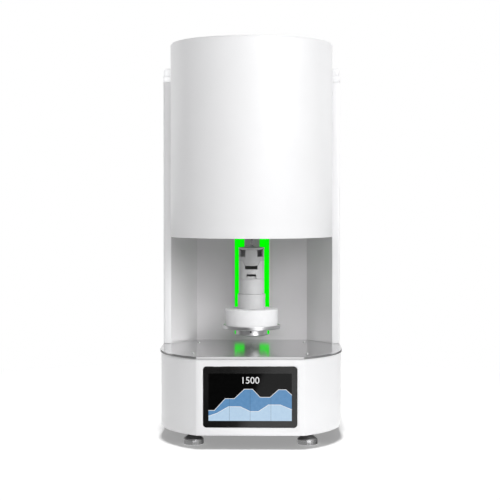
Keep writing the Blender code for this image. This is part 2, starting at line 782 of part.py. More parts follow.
def make_feet():
    profile = [
        (0, FOOT_STUD_TOP_Z),
        (FOOT_STUD_RADIUS, FOOT_STUD_TOP_Z),
        (FOOT_STUD_RADIUS, FOOT_NECK_TOP_Z),
        (FOOT_NECK_RADIUS, FOOT_NECK_TOP_Z),
        (FOOT_NECK_RADIUS, FOOT_CONE_TOP_Z),
        (FOOT_RADIUS - FOOT_EDGE, FOOT_DISC),
        (FOOT_RADIUS, FOOT_DISC - FOOT_EDGE),
        (FOOT_RADIUS, FOOT_EDGE),
        (FOOT_RADIUS - FOOT_EDGE, 0),
        (0, 0),
    ]
    names = ("foot_front_left", "foot_front_right", "foot_rear_left", "foot_rear_right")
    for name, place in zip(names, foot_places()):
        foot = add(turned(name, profile, place, steps=SMALL_STEPS), "chrome")
        carry(body_empty(name + "_axis", (*place, 0)), foot)


# Screen and electrics


def make_screen():
    outline = rounded_rectangle(SCREEN_WIDTH, SCREEN_HEIGHT, SCREEN_CORNER, (0, SCREEN_CENTRE_Z))
    glass = plate("screen_glass", outline, -BASE_FRONT - SCREEN_PROUD, SCREEN_BACK_Y, "Y")
    add(glass, "glass_black")
    module_back = MODULE_FRONT_Y + MODULE_DEPTH
    module = block(
        "display_module",
        (-MODULE_WIDTH / 2, MODULE_FRONT_Y, SCREEN_CENTRE_Z - MODULE_HEIGHT / 2),
        (MODULE_WIDTH / 2, module_back, SCREEN_CENTRE_Z + MODULE_HEIGHT / 2),
        SUPPLY_EDGE,
    )
    add(module, "black_plastic")
    make_control_board(module_back + SEAT_GAP)


def make_control_board(front):
    board_front = front + BOARD_STANDOFF
    board_back = board_front + BOARD_THICKNESS
    half = BOARD_WIDTH / 2
    low = SCREEN_CENTRE_Z - BOARD_HEIGHT / 2
    high = SCREEN_CENTRE_Z + BOARD_HEIGHT / 2
    board = block("control_board", (-half, board_front, low), (half, board_back, high))
    for side in (-1, 1):
        for height in (low + STANDOFF_INSET, high - STANDOFF_INSET):
            post = drum(
                "standoff", STANDOFF_RADIUS, front, board_front + BOARD_THICKNESS / 2,
                (side * (half - STANDOFF_INSET), height), "Y", steps=TINY_STEPS,
            )
            join(board, post)
    # Shares of the board's width and height: left, low, width, height, then depth of each component
    component_shares = (
        (0.08, 0.12, 0.20, 0.30, 0.11),
        (0.36, 0.16, 0.16, 0.24, 0.05),
        (0.60, 0.10, 0.30, 0.18, 0.13),
        (0.12, 0.58, 0.34, 0.22, 0.09),
        (0.58, 0.46, 0.14, 0.38, 0.16),
        (0.78, 0.46, 0.12, 0.38, 0.10),
    )
    for left, bottom, wide, tall, deep in component_shares:
        part = block(
            "component",
            (-half + left * BOARD_WIDTH, board_back - BOARD_THICKNESS / 2, low + bottom * BOARD_HEIGHT),
            (
                -half + (left + wide) * BOARD_WIDTH,
                board_back + deep * BOARD_WIDTH,
                low + (bottom + tall) * BOARD_HEIGHT,
            ),
        )
        join(board, part)
    return add(board, "board")


def standing_block(name, centre, size, low, edge=0.0):
    """A block of a size that stands on a height, centred on a point in plan."""
    half = (size[0] / 2, size[1] / 2)
    return block(
        name,
        (centre[0] - half[0], centre[1] - half[1], low),
        (centre[0] + half[0], centre[1] + half[1], low + size[2]),
        edge,
    )


def make_electrics():
    place = (TRANSFORMER_X, TRANSFORMER_Y)
    core = standing_block("power_transformer", place, TRANSFORMER_CORE, ON_PAN_Z)
    coil_low = ON_PAN_Z + (TRANSFORMER_CORE[2] - TRANSFORMER_COIL[2]) / 2
    coil = standing_block("coil", place, TRANSFORMER_COIL, coil_low, COIL_CORNER)
    add(join(core, coil), "dark_steel")
    supply = standing_block(
        "power_supply", (SUPPLY_X, SUPPLY_Y), SUPPLY_SIZE, ON_PAN_Z, SUPPLY_EDGE
    )
    add(supply, "aluminium")


def make_fan():
    back = REAR_PANEL_Y - SEAT_GAP
    front = back - FAN_DEPTH
    outline = rounded_rectangle(FAN_SIDE, FAN_SIDE, FAN_CORNER, (FAN_X, FAN_Z))
    frame = plate("fan_frame", outline, front, back, "Y")
    bore = drum(
        "fan_bore", FAN_BORE, front - CUT_OVERRUN, back + CUT_OVERRUN, (FAN_X, FAN_Z), "Y"
    )
    cut(frame, bore)
    spider_back = front + FAN_SPIDER
    reach = (FAN_BORE + FAN_SIDE / 2) / 2
    for across, tall in ((reach, FAN_STRUT_HALF), (FAN_STRUT_HALF, reach)):
        strut = block(
            "strut",
            (FAN_X - across, front + FAN_SPIDER / 4, FAN_Z - tall),
            (FAN_X + across, spider_back, FAN_Z + tall),
        )
        join(frame, strut)
    stator = drum(
        "stator", FAN_STATOR_RADIUS, front, spider_back, (FAN_X, FAN_Z), "Y", SMALL_STEPS
    )
    add(join(frame, stator), "black_plastic")
    make_fan_rotor(spider_back + SEAT_GAP)


def make_fan_rotor(front):
    hub = drum(
        "fan_rotor", FAN_HUB_RADIUS, front, front + FAN_HUB_DEPTH, (FAN_X, FAN_Z), "Y", SMALL_STEPS
    )
    middle_y = front + FAN_HUB_DEPTH / 2
    root = FAN_HUB_RADIUS - FAN_BLADE_THICKNESS * 2
    for index in range(FAN_BLADES):
        blade = block(
            "blade",
            (root, -FAN_BLADE_DEPTH / 2, -FAN_BLADE_THICKNESS / 2),
            (FAN_BLADE_TIP, FAN_BLADE_DEPTH / 2, FAN_BLADE_THICKNESS / 2),
        )
        pitch = Matrix.Rotation(FAN_BLADE_PITCH, 4, "X")
        spin = Matrix.Rotation(2 * math.pi * index / FAN_BLADES, 4, "Y")
        bpy.context.view_layer.update()
        blade.matrix_world = (
            Matrix.Translation((FAN_X, middle_y, FAN_Z)) @ spin @ pitch @ blade.matrix_world
        )
        join(hub, blade)
    add(hub, "black_plastic")
    carry(body_empty("fan_axis", (FAN_X, front, FAN_Z)), hub)


def make_power_inlet():
    centre = (INLET_X, INLET_Z)
    flange_low = REAR_PANEL_OUT_Y + SEAT_GAP
    flange_high = flange_low + FITTING_FLANGE
    inlet = plate(
        "power_inlet",
        rounded_rectangle(*INLET_FLANGE, FITTING_CORNER, centre),
        flange_low,
        flange_high,
        "Y",
    )
    body = plate(
        "inlet_body",
        rounded_rectangle(*INLET_BODY, FITTING_CORNER, centre),
        flange_high - INLET_BODY_DEPTH,
        (flange_low + flange_high) / 2,
        "Y",
    )
    socket = plate(
        "inlet_socket",
        rounded_rectangle(*INLET_SOCKET, FITTING_CORNER, centre),
        flange_high - INLET_SOCKET_DEPTH,
        flange_high + CUT_OVERRUN,
        "Y",
    )
    return add(cut(join(inlet, body), socket), "black_plastic")


def make_power_switch():
    centre = (SWITCH_X, INLET_Z)
    flange_low = REAR_PANEL_OUT_Y + SEAT_GAP
    flange_high = flange_low + FITTING_FLANGE
    housing = plate(
        "switch_housing",
        rounded_rectangle(*SWITCH_FLANGE, FITTING_CORNER, centre),
        flange_low,
        flange_high,
        "Y",
    )
    floor = flange_high - SWITCH_WELL_DEPTH
    body = plate(
        "switch_body",
        rounded_rectangle(*SWITCH_BODY, FITTING_CORNER, centre),
        floor - FITTING_FLANGE,
        (flange_low + flange_high) / 2,
        "Y",
    )
    half = (SWITCH_WELL[0] / 2, SWITCH_WELL[1] / 2)
    well = block(
        "switch_well",
        (SWITCH_X - half[0], floor, INLET_Z - half[1]),
        (SWITCH_X + half[0], flange_high + CUT_OVERRUN, INLET_Z + half[1]),
    )
    add(cut(join(housing, body), well), "black_plastic")
    make_rocker(floor, flange_high)


def make_rocker(floor, flange_high):
    """The rocker turns about a line along X. Its two faces meet in a shallow V."""
    pivot_y = flange_high - ROCKER_DEPTH / 2 - ROCKER_SINK
    reach = SWITCH_WELL[1] / 2 - SLIP_GAP * 2
    root_reach = ROCKER_DEPTH / 4
    drop = reach * math.tan(ROCKER_THROW / 2)
    face = ROCKER_DEPTH / 2 - drop
    outline = [
        (face, 0),
        (face + drop, reach),
        (face - ROCKER_DEPTH / 3, reach),
        (floor + SEAT_GAP - pivot_y + root_reach / 2, root_reach),
        (floor + SEAT_GAP - pivot_y + root_reach / 2, -root_reach),
        (face - ROCKER_DEPTH / 3, -reach),
        (face + drop, -reach),
    ]
    half = SWITCH_WELL[0] / 2 - SLIP_GAP
    rocker = plate("power_rocker", outline, -half, half, "X")
    bpy.context.view_layer.update()
    tilt = Matrix.Rotation(ROCKER_THROW / 2, 4, "X")
    rocker.matrix_world = (
        Matrix.Translation((SWITCH_X, pivot_y, INLET_Z)) @ tilt @ rocker.matrix_world
    )
    add(rocker, "black_plastic")
    carry(body_empty("rocker_axis", (SWITCH_X, pivot_y, INLET_Z)), rocker)


# Column and loading bay


def make_column_sides():
    corners = [
        (WING_INNER_X, COLUMN_FRONT_Y),
        (COLUMN_WIDTH / 2, COLUMN_FRONT_Y),
        (COLUMN_WIDTH / 2, BASE_BACK),
        (COLUMN_WIDTH / 2 - REAR_FLANGE, BASE_BACK),
    ]
    path = bent_path(corners, COLUMN_BEND)
    for name, side in (("column_side_right", 1), ("column_side_left", -1)):
        placed = [Vector((side * p.x, p.y)) for p in path]
        if side < 0:
            placed.reverse()
        panel = plate(name, sheet_outline(placed, SHEET), ON_DECK_Z, COLUMN_TOP_Z)
        add(smooth(panel), "white_paint")


def make_rear_cover():
    half = COLUMN_WIDTH / 2 - REAR_COVER_MARGIN
    front = BASE_BACK + SEAT_GAP
    cover = plate(
        "rear_cover",
        rectangle((-half, REAR_COVER_LOW_Z), (half, REAR_COVER_HIGH_Z)),
        front,
        front + SHEET,
        "Y",
    )
    for low in (DECK_TOP_Z + LOUVRE_RISE, COLUMN_TOP_Z - LOUVRE_DROP):
        for row in range(LOUVRE_ROWS):
            for side in (-1, 1):
                middle = (side * LOUVRE_X, low + row * LOUVRE_PITCH)
                slot = block(
                    "louvre",
                    (middle[0] - LOUVRE_LENGTH / 2, front - CUT_OVERRUN, middle[1]),
                    (middle[0] + LOUVRE_LENGTH / 2, front + CUT_OVERRUN, middle[1] + LOUVRE_HEIGHT),
                )
                cut(cover, slot)
    return add(cover, "white_paint")


def column_plan(inset):
    """The column's plan as a rectangle with round corners."""
    front = COLUMN_FRONT_Y - TRIM_PROUD + inset
    back = BASE_BACK + SHEET + SEAT_GAP - inset
    width = COLUMN_WIDTH + 2 * TRIM_PROUD - 2 * inset
    return rounded_rectangle(width, back - front, TRIM_CORNER, (0, (front + back) / 2))


def head_hole(low, high):
    return drum(
        "head_hole", HEAD_HOLE_RADIUS, low - CUT_OVERRUN, high + CUT_OVERRUN, steps=FINE_STEPS
    )


def make_trim_band():
    high = TRIM_LOW_Z + TRIM_HEIGHT
    band = plate("column_trim_band", column_plan(0.0), TRIM_LOW_Z, high)
    hollow = plate(
        "trim_hollow", column_plan(TRIM_WALL), TRIM_LOW_Z - CUT_OVERRUN, high + CUT_OVERRUN
    )
    gate_half = math.sqrt(HEAD_HOLE_RADIUS**2 - COLUMN_FRONT_Y**2)
    gate = block(
        "trim_gate",
        (-gate_half, COLUMN_FRONT_Y - TRIM_PROUD - CUT_OVERRUN, TRIM_LOW_Z - CUT_OVERRUN),
        (gate_half, COLUMN_FRONT_Y + TRIM_WALL + CUT_OVERRUN, high + CUT_OVERRUN),
    )
    cut(band, hollow, gate)
    return add(smooth(band), "white_paint")


def make_top_cap():
    high = CAP_LOW_Z + CAP_HEIGHT
    cap = plate("column_top_cap", column_plan(CAP_INSET), CAP_LOW_Z, high)
    round_top_edges(cap, high, CAP_EDGE_ROUND, 3)
    hollow = plate(
        "cap_hollow", column_plan(CAP_INSET + CAP_SHEET), CAP_LOW_Z - CUT_OVERRUN, high - CAP_SHEET
    )
    cut(cap, hollow, head_hole(CAP_LOW_Z, high))
    return add(cap, "white_paint")


def make_bay():
    tab_y = COLUMN_FRONT_Y + SHEET + SEAT_GAP
    corners = [
        (WING_INNER_X + BAY_TAB, tab_y),
        (WING_INNER_X, tab_y),
        (BAY_BACK_HALF, BAY_BACK_Y),
        (-BAY_BACK_HALF, BAY_BACK_Y),
        (-WING_INNER_X, tab_y),
        (-WING_INNER_X - BAY_TAB, tab_y),
    ]
    outline = sheet_outline([Vector(p) for p in reversed(corners)], BAY_SHEET)
    liner = plate("alcove_liner", outline, ON_DECK_Z, BAY_TOP_Z)
    slot = block(
        "arm_slot",
        (-SLOT_HALF, BAY_BACK_Y - CUT_OVERRUN, SLOT_LOW_Z),
        (SLOT_HALF, BAY_BACK_Y + CUT_OVERRUN, BAY_TOP_Z + CUT_OVERRUN),
    )
    add(cut(liner, slot), "bay_paint")
    lip_front = BAY_BACK_Y + BAY_SHEET + SEAT_GAP
    for name, side in (("left", -1), ("right", 1)):
        inner, outer = sorted((side * SLOT_HALF, side * (SLOT_HALF + LIGHT_WIDTH)))
        light = block(
            "light_bar_" + name,
            (inner, BAY_BACK_Y - SEAT_GAP - LIGHT_DEPTH, SLOT_LOW_Z),
            (outer, BAY_BACK_Y - SEAT_GAP, BAY_TOP_Z - LIGHT_TOP_GAP),
            LIGHT_EDGE,
        )
        add(light, "light_green")
        inner, outer = sorted((side * LIP_GAP_HALF, side * (SLOT_HALF + LIP_LAP)))
        lip = block(
            "slot_lip_" + name,
            (inner, lip_front, SLOT_LOW_Z - LIP_LAP),
            (outer, lip_front + LIP_THICKNESS, BAY_TOP_Z - LIGHT_TOP_GAP),
        )
        add(lip, "grey_rubber")


# Furnace head


def ring_profile(outer, inner, low, high):
    return [(outer, high), (outer, low), (inner, low), (inner, high)]


def make_head_shell():
    inner = HEAD_RADIUS - SHEET
    lip_inner = HEAD_RADIUS - HEAD_LIP
    profile = [
        (HEAD_RADIUS - HEAD_EDGE, HEAD_LIP_Z),
        (HEAD_RADIUS, HEAD_LIP_Z - HEAD_EDGE),
        (HEAD_RADIUS, HEAD_BOTTOM_Z),
        (inner, HEAD_BOTTOM_Z),
        (inner, HEAD_LIP_Z - SHEET),
        (lip_inner, HEAD_LIP_Z - SHEET),
        (lip_inner, HEAD_LIP_Z),
    ]
    return add(turned("head_shell", profile, steps=FINE_STEPS), "white_paint")


def make_head_top_cover():
    low = HEAD_LIP_Z + SEAT_GAP
    high = low + COVER_THICKNESS
    radius = HEAD_RADIUS - COVER_INSET
    edge = COVER_THICKNESS / 2
    profile = [(0, high), (radius - edge, high), (radius, high - edge), (radius, low), (0, low)]
    cover = turned("head_top_cover", profile, steps=FINE_STEPS)
    for index in range(VENT_COUNT):
        vent = block(
            "vent",
            (VENT_INNER_RADIUS, -VENT_WIDTH / 2, low - CUT_OVERRUN),
            (VENT_OUTER_RADIUS, VENT_WIDTH / 2, high + CUT_OVERRUN),
        )
        bpy.context.view_layer.update()
        turn_about_axis(vent, 2 * math.pi * index / VENT_COUNT)
        cut(cover, vent)
    return add(cover, "white_paint")


def make_hot_zone():
    rings = (
        (
            "head_bottom_plate", HEAD_RADIUS - SHEET - SEAT_GAP, THROAT_RADIUS,
            FLOOR_PLATE_Z, FLOOR_PLATE_Z + FLOOR_PLATE, "steel", FINE_STEPS,
        ),
        (
            "throat_ring", INSULATION_RADIUS, THROAT_RADIUS,
            THROAT_RING_Z, THROAT_RING_Z + THROAT_RING_HEIGHT, "fibre", ROUND_STEPS,
        ),
        (
            "insulation_ring", INSULATION_RADIUS, CHAMBER_RADIUS,
            CHAMBER_LOW_Z, CHAMBER_LOW_Z + CHAMBER_HEIGHT, "fibre", ROUND_STEPS,
        ),
        (
            "heat_shield", INSULATION_RADIUS + SEAT_GAP + SHIELD_SHEET, INSULATION_RADIUS + SEAT_GAP,
            THROAT_RING_Z, ROOF_Z + ROOF_THICKNESS + SHIELD_RISE, "steel", ROUND_STEPS,
        ),
    )
    for name, outer, inner, low, high, finish, steps in rings:
        add(turned(name, ring_profile(outer, inner, low, high), steps=steps), finish)
    roof = drum("insulation_cap", INSULATION_RADIUS, ROOF_Z, ROOF_Z + ROOF_THICKNESS)
    holder = drum("element_holder", HOLDER_RADIUS, HOLDER_Z, HOLDER_Z + HOLDER_THICKNESS)
    low = ROOF_Z - CUT_OVERRUN
    high = HOLDER_Z + HOLDER_THICKNESS + CUT_OVERRUN
    holes = [((0, 0), PROBE_RADIUS)] + [(place, ELEMENT_RADIUS) for place in leg_places()]
    for place, radius in holes:
        for piece in (roof, holder):
            hole = drum(
                "leg_hole", radius + SEAT_GAP, low, high, place, steps=TINY_STEPS
            )
            cut(piece, hole)
    add(roof, "fibre")
    add(holder, "ceramic")


def element_frame(index):
    """The middle of a heating element in plan, and the direction between its legs."""
    angle = 2 * math.pi * (index + 0.5) / ELEMENT_COUNT
    outward = Vector((math.cos(angle), math.sin(angle)))
    return outward * ELEMENT_CIRCLE, Vector((-outward.y, outward.x))


def leg_places():
    places = []
    for index in range(ELEMENT_COUNT):
        middle, across = element_frame(index)
        for side in (-1, 1):
            places.append(tuple(middle + across * side * ELEMENT_HALF_PITCH))
    return places


def make_heating_elements():
    top = HOLDER_Z + HOLDER_THICKNESS + ELEMENT_STICKOUT
    bend_z = CHAMBER_LOW_Z + ELEMENT_FLOOR_GAP + ELEMENT_HALF_PITCH
    leg = [
        (ELEMENT_HALF_PITCH, top + (bend_z - top) * i / ELEMENT_LEG_POINTS)
        for i in range(ELEMENT_LEG_POINTS)
    ]
    bend = [
        (
            ELEMENT_HALF_PITCH * math.cos(math.pi * i / (ELEMENT_BEND_POINTS - 1)),
            bend_z - ELEMENT_HALF_PITCH * math.sin(math.pi * i / (ELEMENT_BEND_POINTS - 1)),
        )
        for i in range(ELEMENT_BEND_POINTS)
    ]
    line = leg + bend + [(-across, height) for across, height in reversed(leg)]
    for index in range(ELEMENT_COUNT):
        middle, along = element_frame(index)
        curve = bpy.data.curves.new(f"heating_element_{index + 1}", "CURVE")
        curve.dimensions = "3D"
        curve.bevel_depth = ELEMENT_RADIUS
        curve.bevel_resolution = ELEMENT_BEVEL_STEPS
        curve.use_fill_caps = True
        spline = curve.splines.new("POLY")
        spline.points.add(len(line) - 1)
        for point, (across, height) in zip(spline.points, line):
            spot = middle + along * across
            point.co = (spot.x, spot.y, height, 1)
        obj = bpy.data.objects.new(curve.name, curve)
        bpy.context.scene.collection.objects.link(obj)
        add(obj, "element")


def make_thermocouple():
    tip = ROOF_Z - PROBE_TIP_BELOW_ROOF
    seat = HOLDER_Z + HOLDER_THICKNESS + SEAT_GAP
    top = seat + PROBE_HEAD_HEIGHT
    profile = [
        (0, top),
        (PROBE_HEAD_RADIUS, top),
        (PROBE_HEAD_RADIUS, seat),
        (PROBE_RADIUS, seat),
        (PROBE_RADIUS, tip),
        (0, tip),
    ]
    add(turned("thermocouple", profile, steps=TINY_STEPS), "ceramic")


# Lift


def rod_holes(low, high):
    return [
        drum("rod_hole", ROD_RADIUS + RUNNING_GAP, low, high, (side * ROD_X, LIFT_Y), steps=SMALL_STEPS)
        for side in (-1, 1)
    ]


def make_lift_frame():
    chassis = block(
        "chassis_plate",
        (-CHASSIS_HALF, CHASSIS_FRONT_Y, ON_PAN_Z),
        (CHASSIS_HALF, CHASSIS_FRONT_Y + CHASSIS_PLATE, HEAD_BOTTOM_Z - CHASSIS_TOP_GAP),
    )
    add(chassis, "dark_steel")
    blocks = (
        ("lower_block", LOWER_BLOCK_Z, LOWER_BLOCK, COUPLING_RADIUS + SLIP_GAP),
        ("upper_block", UPPER_BLOCK_Z, UPPER_BLOCK, SCREW_RADIUS + RUNNING_GAP),
    )
    for name, low, height, bore in blocks:
        holder = block(
            name,
            (-BLOCK_HALF, BLOCK_FRONT_Y, low),
            (BLOCK_HALF, CHASSIS_FRONT_Y - SEAT_GAP, low + height),
            SUPPLY_EDGE / 2,
            1,
        )
        holes = rod_holes(low - CUT_OVERRUN, low + height + CUT_OVERRUN)
        centre = drum(
            "screw_hole", bore, low - CUT_OVERRUN, low + height + CUT_OVERRUN,
            (0, LIFT_Y), steps=SMALL_STEPS,
        )
        add(cut(holder, centre, *holes), "aluminium")
    for name, side in (("left", -1), ("right", 1)):
        rod = drum(
            "guide_rod_" + name, ROD_RADIUS, LOWER_BLOCK_Z, UPPER_BLOCK_Z + UPPER_BLOCK,
            (side * ROD_X, LIFT_Y), steps=SMALL_STEPS,
        )
        add(rod, "steel")


def make_motor():
    high = LOWER_BLOCK_Z - SEAT_GAP
    outline = rounded_rectangle(MOTOR_SIDE, MOTOR_SIDE, MOTOR_CORNER, (0, LIFT_Y), 2)
    motor = plate("lift_motor", outline, high - MOTOR_LENGTH, high)
    socket = drum(
        "motor_socket", MOTOR_SHAFT_RADIUS + RUNNING_GAP, high - MOTOR_SOCKET,
        high + CUT_OVERRUN, (0, LIFT_Y), steps=SMALL_STEPS,
    )
    add(cut(motor, socket), "dark_steel")


def make_screw():
    coupling_top = COUPLING_LOW_Z + COUPLING_HEIGHT
    bore_floor = coupling_top - COUPLING_BORE
    stub = LOWER_BLOCK_Z - SEAT_GAP - MOTOR_SOCKET + SLIP_GAP
    bore = SCREW_RADIUS + SEAT_GAP
    coupling_profile = [
        (0, bore_floor),
        (bore, bore_floor),
        (bore, coupling_top),
        (COUPLING_RADIUS, coupling_top),
        (COUPLING_RADIUS, COUPLING_LOW_Z),
        (MOTOR_SHAFT_RADIUS, COUPLING_LOW_Z),
        (MOTOR_SHAFT_RADIUS, stub),
        (0, stub),
    ]
    coupling = turned("shaft_coupling", coupling_profile, (0, LIFT_Y), steps=SMALL_STEPS)
    screw = drum(
        "lead_screw", SCREW_RADIUS, bore_floor + SEAT_GAP, UPPER_BLOCK_Z + UPPER_BLOCK,
        (0, LIFT_Y), steps=SMALL_STEPS,
    )
    add(coupling, "aluminium")
    add(screw, "steel")
    carry(body_empty("screw_axis", (0, LIFT_Y, COUPLING_LOW_Z)), coupling, screw)


def make_carriage():
    low = CARRIAGE_LOW_Z
    high = low + CARRIAGE_HEIGHT
    carriage = block(
        "lift_carriage",
        (-CARRIAGE_HALF, CARRIAGE_FRONT_Y, low),
        (CARRIAGE_HALF, CARRIAGE_FRONT_Y + CARRIAGE_DEPTH, high),
        CARRIAGE_EDGE,
        1,
    )
    nut_hole = drum(
        "nut_hole", NUT_RADIUS + SEAT_GAP, low - CUT_OVERRUN, high + CUT_OVERRUN,
        (0, LIFT_Y), steps=SMALL_STEPS,
    )
    cut(carriage, nut_hole, *rod_holes(low - CUT_OVERRUN, high + CUT_OVERRUN))
    seat = high + SEAT_GAP
    bore = SCREW_RADIUS + RUNNING_GAP
    nut_profile = [
        (NUT_FLANGE_RADIUS, seat + NUT_FLANGE),
        (NUT_FLANGE_RADIUS, seat),
        (NUT_RADIUS, seat),
        (NUT_RADIUS, seat - NUT_LENGTH),
        (bore, seat - NUT_LENGTH),
        (bore, seat + NUT_FLANGE),
    ]
    nut = turned("lead_nut", nut_profile, (0, LIFT_Y), steps=SMALL_STEPS)
    return add(carriage, "aluminium"), add(nut, "brass")


def make_arm():
    """A riser on the carriage, and a thin bar that passes through the slot to carry the platform."""
    pad_top = FLANGE_Z - SEAT_GAP
    bar_top = pad_top - ARM_STEP
    riser_back = CARRIAGE_FRONT_Y - SEAT_GAP
    riser_front = riser_back - RISER_THICKNESS
    pad_front = HUB_RADIUS + SEAT_GAP
    arm = block(
        "lift_arm",
        (-RISER_HALF, riser_front, CARRIAGE_LOW_Z),
        (RISER_HALF, riser_back, bar_top - ARM_STEP),
    )
    bar = block(
        "arm_bar",
        (-ARM_HALF, pad_front + ARM_PAD_LENGTH / 2, bar_top - ARM_HEIGHT),
        (ARM_HALF, riser_back - RISER_THICKNESS / 2, bar_top),
    )
    pad = block(
        "arm_pad",
        (-ARM_PAD_HALF, pad_front, pad_top - ARM_PAD_HEIGHT),
        (ARM_PAD_HALF, pad_front + ARM_PAD_LENGTH, pad_top),
    )
    return add(join(arm, bar, pad), "steel")


def make_platform():
    top = HUB_LOW_Z + HUB_HEIGHT
    hub_profile = [
        (0, top),
        (HUB_RADIUS, top),
        (HUB_RADIUS, HUB_LOW_Z + HUB_EDGE),
        (HUB_RADIUS - HUB_EDGE, HUB_LOW_Z),
        (0, HUB_LOW_Z),
    ]
    rim_top = FLANGE_Z + FLANGE_HEIGHT
    rim_inner = FLANGE_RADIUS - FLANGE_RIM
    dish_floor = FLANGE_Z + FLANGE_FLOOR
    flange_profile = [
        (0, dish_floor),
        (rim_inner, dish_floor),
        (rim_inner, rim_top - FLANGE_EDGE / 2),
        (rim_inner + FLANGE_EDGE / 2, rim_top),
        (FLANGE_RADIUS - FLANGE_EDGE, rim_top),
        (FLANGE_RADIUS, rim_top - FLANGE_EDGE),
        (FLANGE_RADIUS, FLANGE_Z + FLANGE_EDGE),
        (FLANGE_RADIUS - FLANGE_EDGE, FLANGE_Z),
        (0, FLANGE_Z),
    ]
    plug_top = PLUG_Z + PLUG_HEIGHT
    plug_profile = [
        (0, plug_top),
        (PLUG_RADIUS - PLUG_EDGE, plug_top),
        (PLUG_RADIUS, plug_top - PLUG_EDGE),
        (PLUG_RADIUS, PLUG_Z),
        (0, PLUG_Z),
    ]
    tube_inner = TUBE_RADIUS - TUBE_WALL
    pedestal_top = PEDESTAL_Z + PEDESTAL_HEIGHT
    pedestal_profile = [
        (0, pedestal_top + SPIGOT_HEIGHT),
        (tube_inner - SLIP_GAP, pedestal_top + SPIGOT_HEIGHT),
        (tube_inner - SLIP_GAP, pedestal_top),
        (PEDESTAL_RADIUS, pedestal_top),
        (PEDESTAL_RADIUS, PEDESTAL_Z),
        (0, PEDESTAL_Z),
    ]
    tube_top = TUBE_Z + TUBE_HEIGHT
    spigot = TUBE_RADIUS - TUBE_SPIGOT_WALL - SLIP_GAP
    tube_profile = [
        (spigot, tube_top + SPIGOT_HEIGHT),
        (spigot, tube_top),
        (TUBE_RADIUS, tube_top),
        (TUBE_RADIUS, TUBE_Z),
        (tube_inner, TUBE_Z),
        (tube_inner, tube_top + SPIGOT_HEIGHT),
    ]
    pieces = (
        ("platform_hub", hub_profile, "steel"),
        ("platform_flange", flange_profile, "steel"),
        ("insulating_plug", plug_profile, "fibre"),
        ("pedestal_base", pedestal_profile, "ceramic"),
        ("pedestal_tube", tube_profile, "ceramic"),
    )
    return [add(turned(name, profile), finish) for name, profile, finish in pieces]


def cup_profile(low, high, floor, floor_top):
    """A cup whose wall also hangs below its floor."""
    inner = TUBE_RADIUS - CRUCIBLE_WALL
    return [
        (0, floor_top),
        (inner, floor_top),
        (inner, high),
        (TUBE_RADIUS, high),
        (TUBE_RADIUS, low),
        (inner, low),
        (inner, floor),
        (0, floor),
    ]


def wall_cutter(name, outline, back=TUBE_RADIUS + CUT_OVERRUN, angle=0.0):
    """A prism along Y that cuts a crucible's front wall, and its rear wall if it reaches that far."""
    cutter = plate(name, outline, -TUBE_RADIUS - CUT_OVERRUN, back, "Y")
    bpy.context.view_layer.update()
    return turn_about_axis(cutter, angle)


def make_lower_crucible():
    low = LOWER_CRUCIBLE_Z
    high = low + LOWER_CRUCIBLE_HEIGHT
    floor = low + LOWER_FLOOR_RISE
    crucible = turned("crucible_lower", cup_profile(low, high, floor, floor + CRUCIBLE_FLOOR))
    notch_floor = high - TONGUE_DROP - VENT_SLOT_DROP
    tip_z = high - TONGUE_DROP
    top_half = TONGUE_TOP_HALF + TONGUE_GAP
    tip_half = TONGUE_TIP_HALF + TONGUE_GAP
    slope = (top_half - tip_half) / TONGUE_DROP
    above = high + CUT_OVERRUN
    wide = top_half + slope * CUT_OVERRUN
    notch = [
        (-tip_half, notch_floor),
        (tip_half, notch_floor),
        (tip_half, tip_z),
        (wide, above),
        (-wide, above),
        (-tip_half, tip_z),
    ]
    foot_slope = (FOOT_NOTCH_LOW_HALF - FOOT_NOTCH_HIGH_HALF) / FOOT_NOTCH_HEIGHT
    below_half = FOOT_NOTCH_LOW_HALF + foot_slope * CUT_OVERRUN
    foot_notch = [
        (-below_half, low - CUT_OVERRUN),
        (below_half, low - CUT_OVERRUN),
        (FOOT_NOTCH_HIGH_HALF, low + FOOT_NOTCH_HEIGHT),
        (-FOOT_NOTCH_HIGH_HALF, low + FOOT_NOTCH_HEIGHT),
    ]
    cut(
        crucible,
        wall_cutter("tongue_notch", notch),
        wall_cutter("foot_notch", foot_notch),
    )
    return add(crucible, "ceramic")


def make_upper_crucible():
    low = UPPER_CRUCIBLE_Z
    high = low + UPPER_CRUCIBLE_HEIGHT
    tip_z = low - TONGUE_DROP
    profile = cup_profile(tip_z, high, low, low + CRUCIBLE_FLOOR)
    crucible = turned("crucible_upper", profile)
    slope = (TONGUE_TOP_HALF - TONGUE_TIP_HALF) / TONGUE_DROP
    below = tip_z - CUT_OVERRUN
    below_half = TONGUE_TIP_HALF - slope * CUT_OVERRUN
    reach = TUBE_RADIUS + CUT_OVERRUN
    for side in (-1, 1):
        beside_tongue = [
            (side * reach, low),
            (side * TONGUE_TOP_HALF, low),
            (side * below_half, below),
            (side * reach, below),
        ]
        cut(crucible, wall_cutter("beside_tongue", beside_tongue))
    window_low = high - WINDOW_HEIGHT
    flare_low = high - WINDOW_FLARE_HEIGHT
    flare_slope = (WINDOW_FLARE_HALF - WINDOW_HALF) / WINDOW_FLARE_HEIGHT
    above_half = WINDOW_FLARE_HALF + flare_slope * CUT_OVERRUN
    window = [
        (-WINDOW_HALF, window_low),
        (WINDOW_HALF, window_low),
        (WINDOW_HALF, flare_low),
        (above_half, high + CUT_OVERRUN),
        (-above_half, high + CUT_OVERRUN),
        (-WINDOW_HALF, flare_low),
    ]
    for side in (-1, 1):
        cut(crucible, wall_cutter("window", window, 0.0, side * WINDOW_ANGLE))
    return add(crucible, "ceramic")


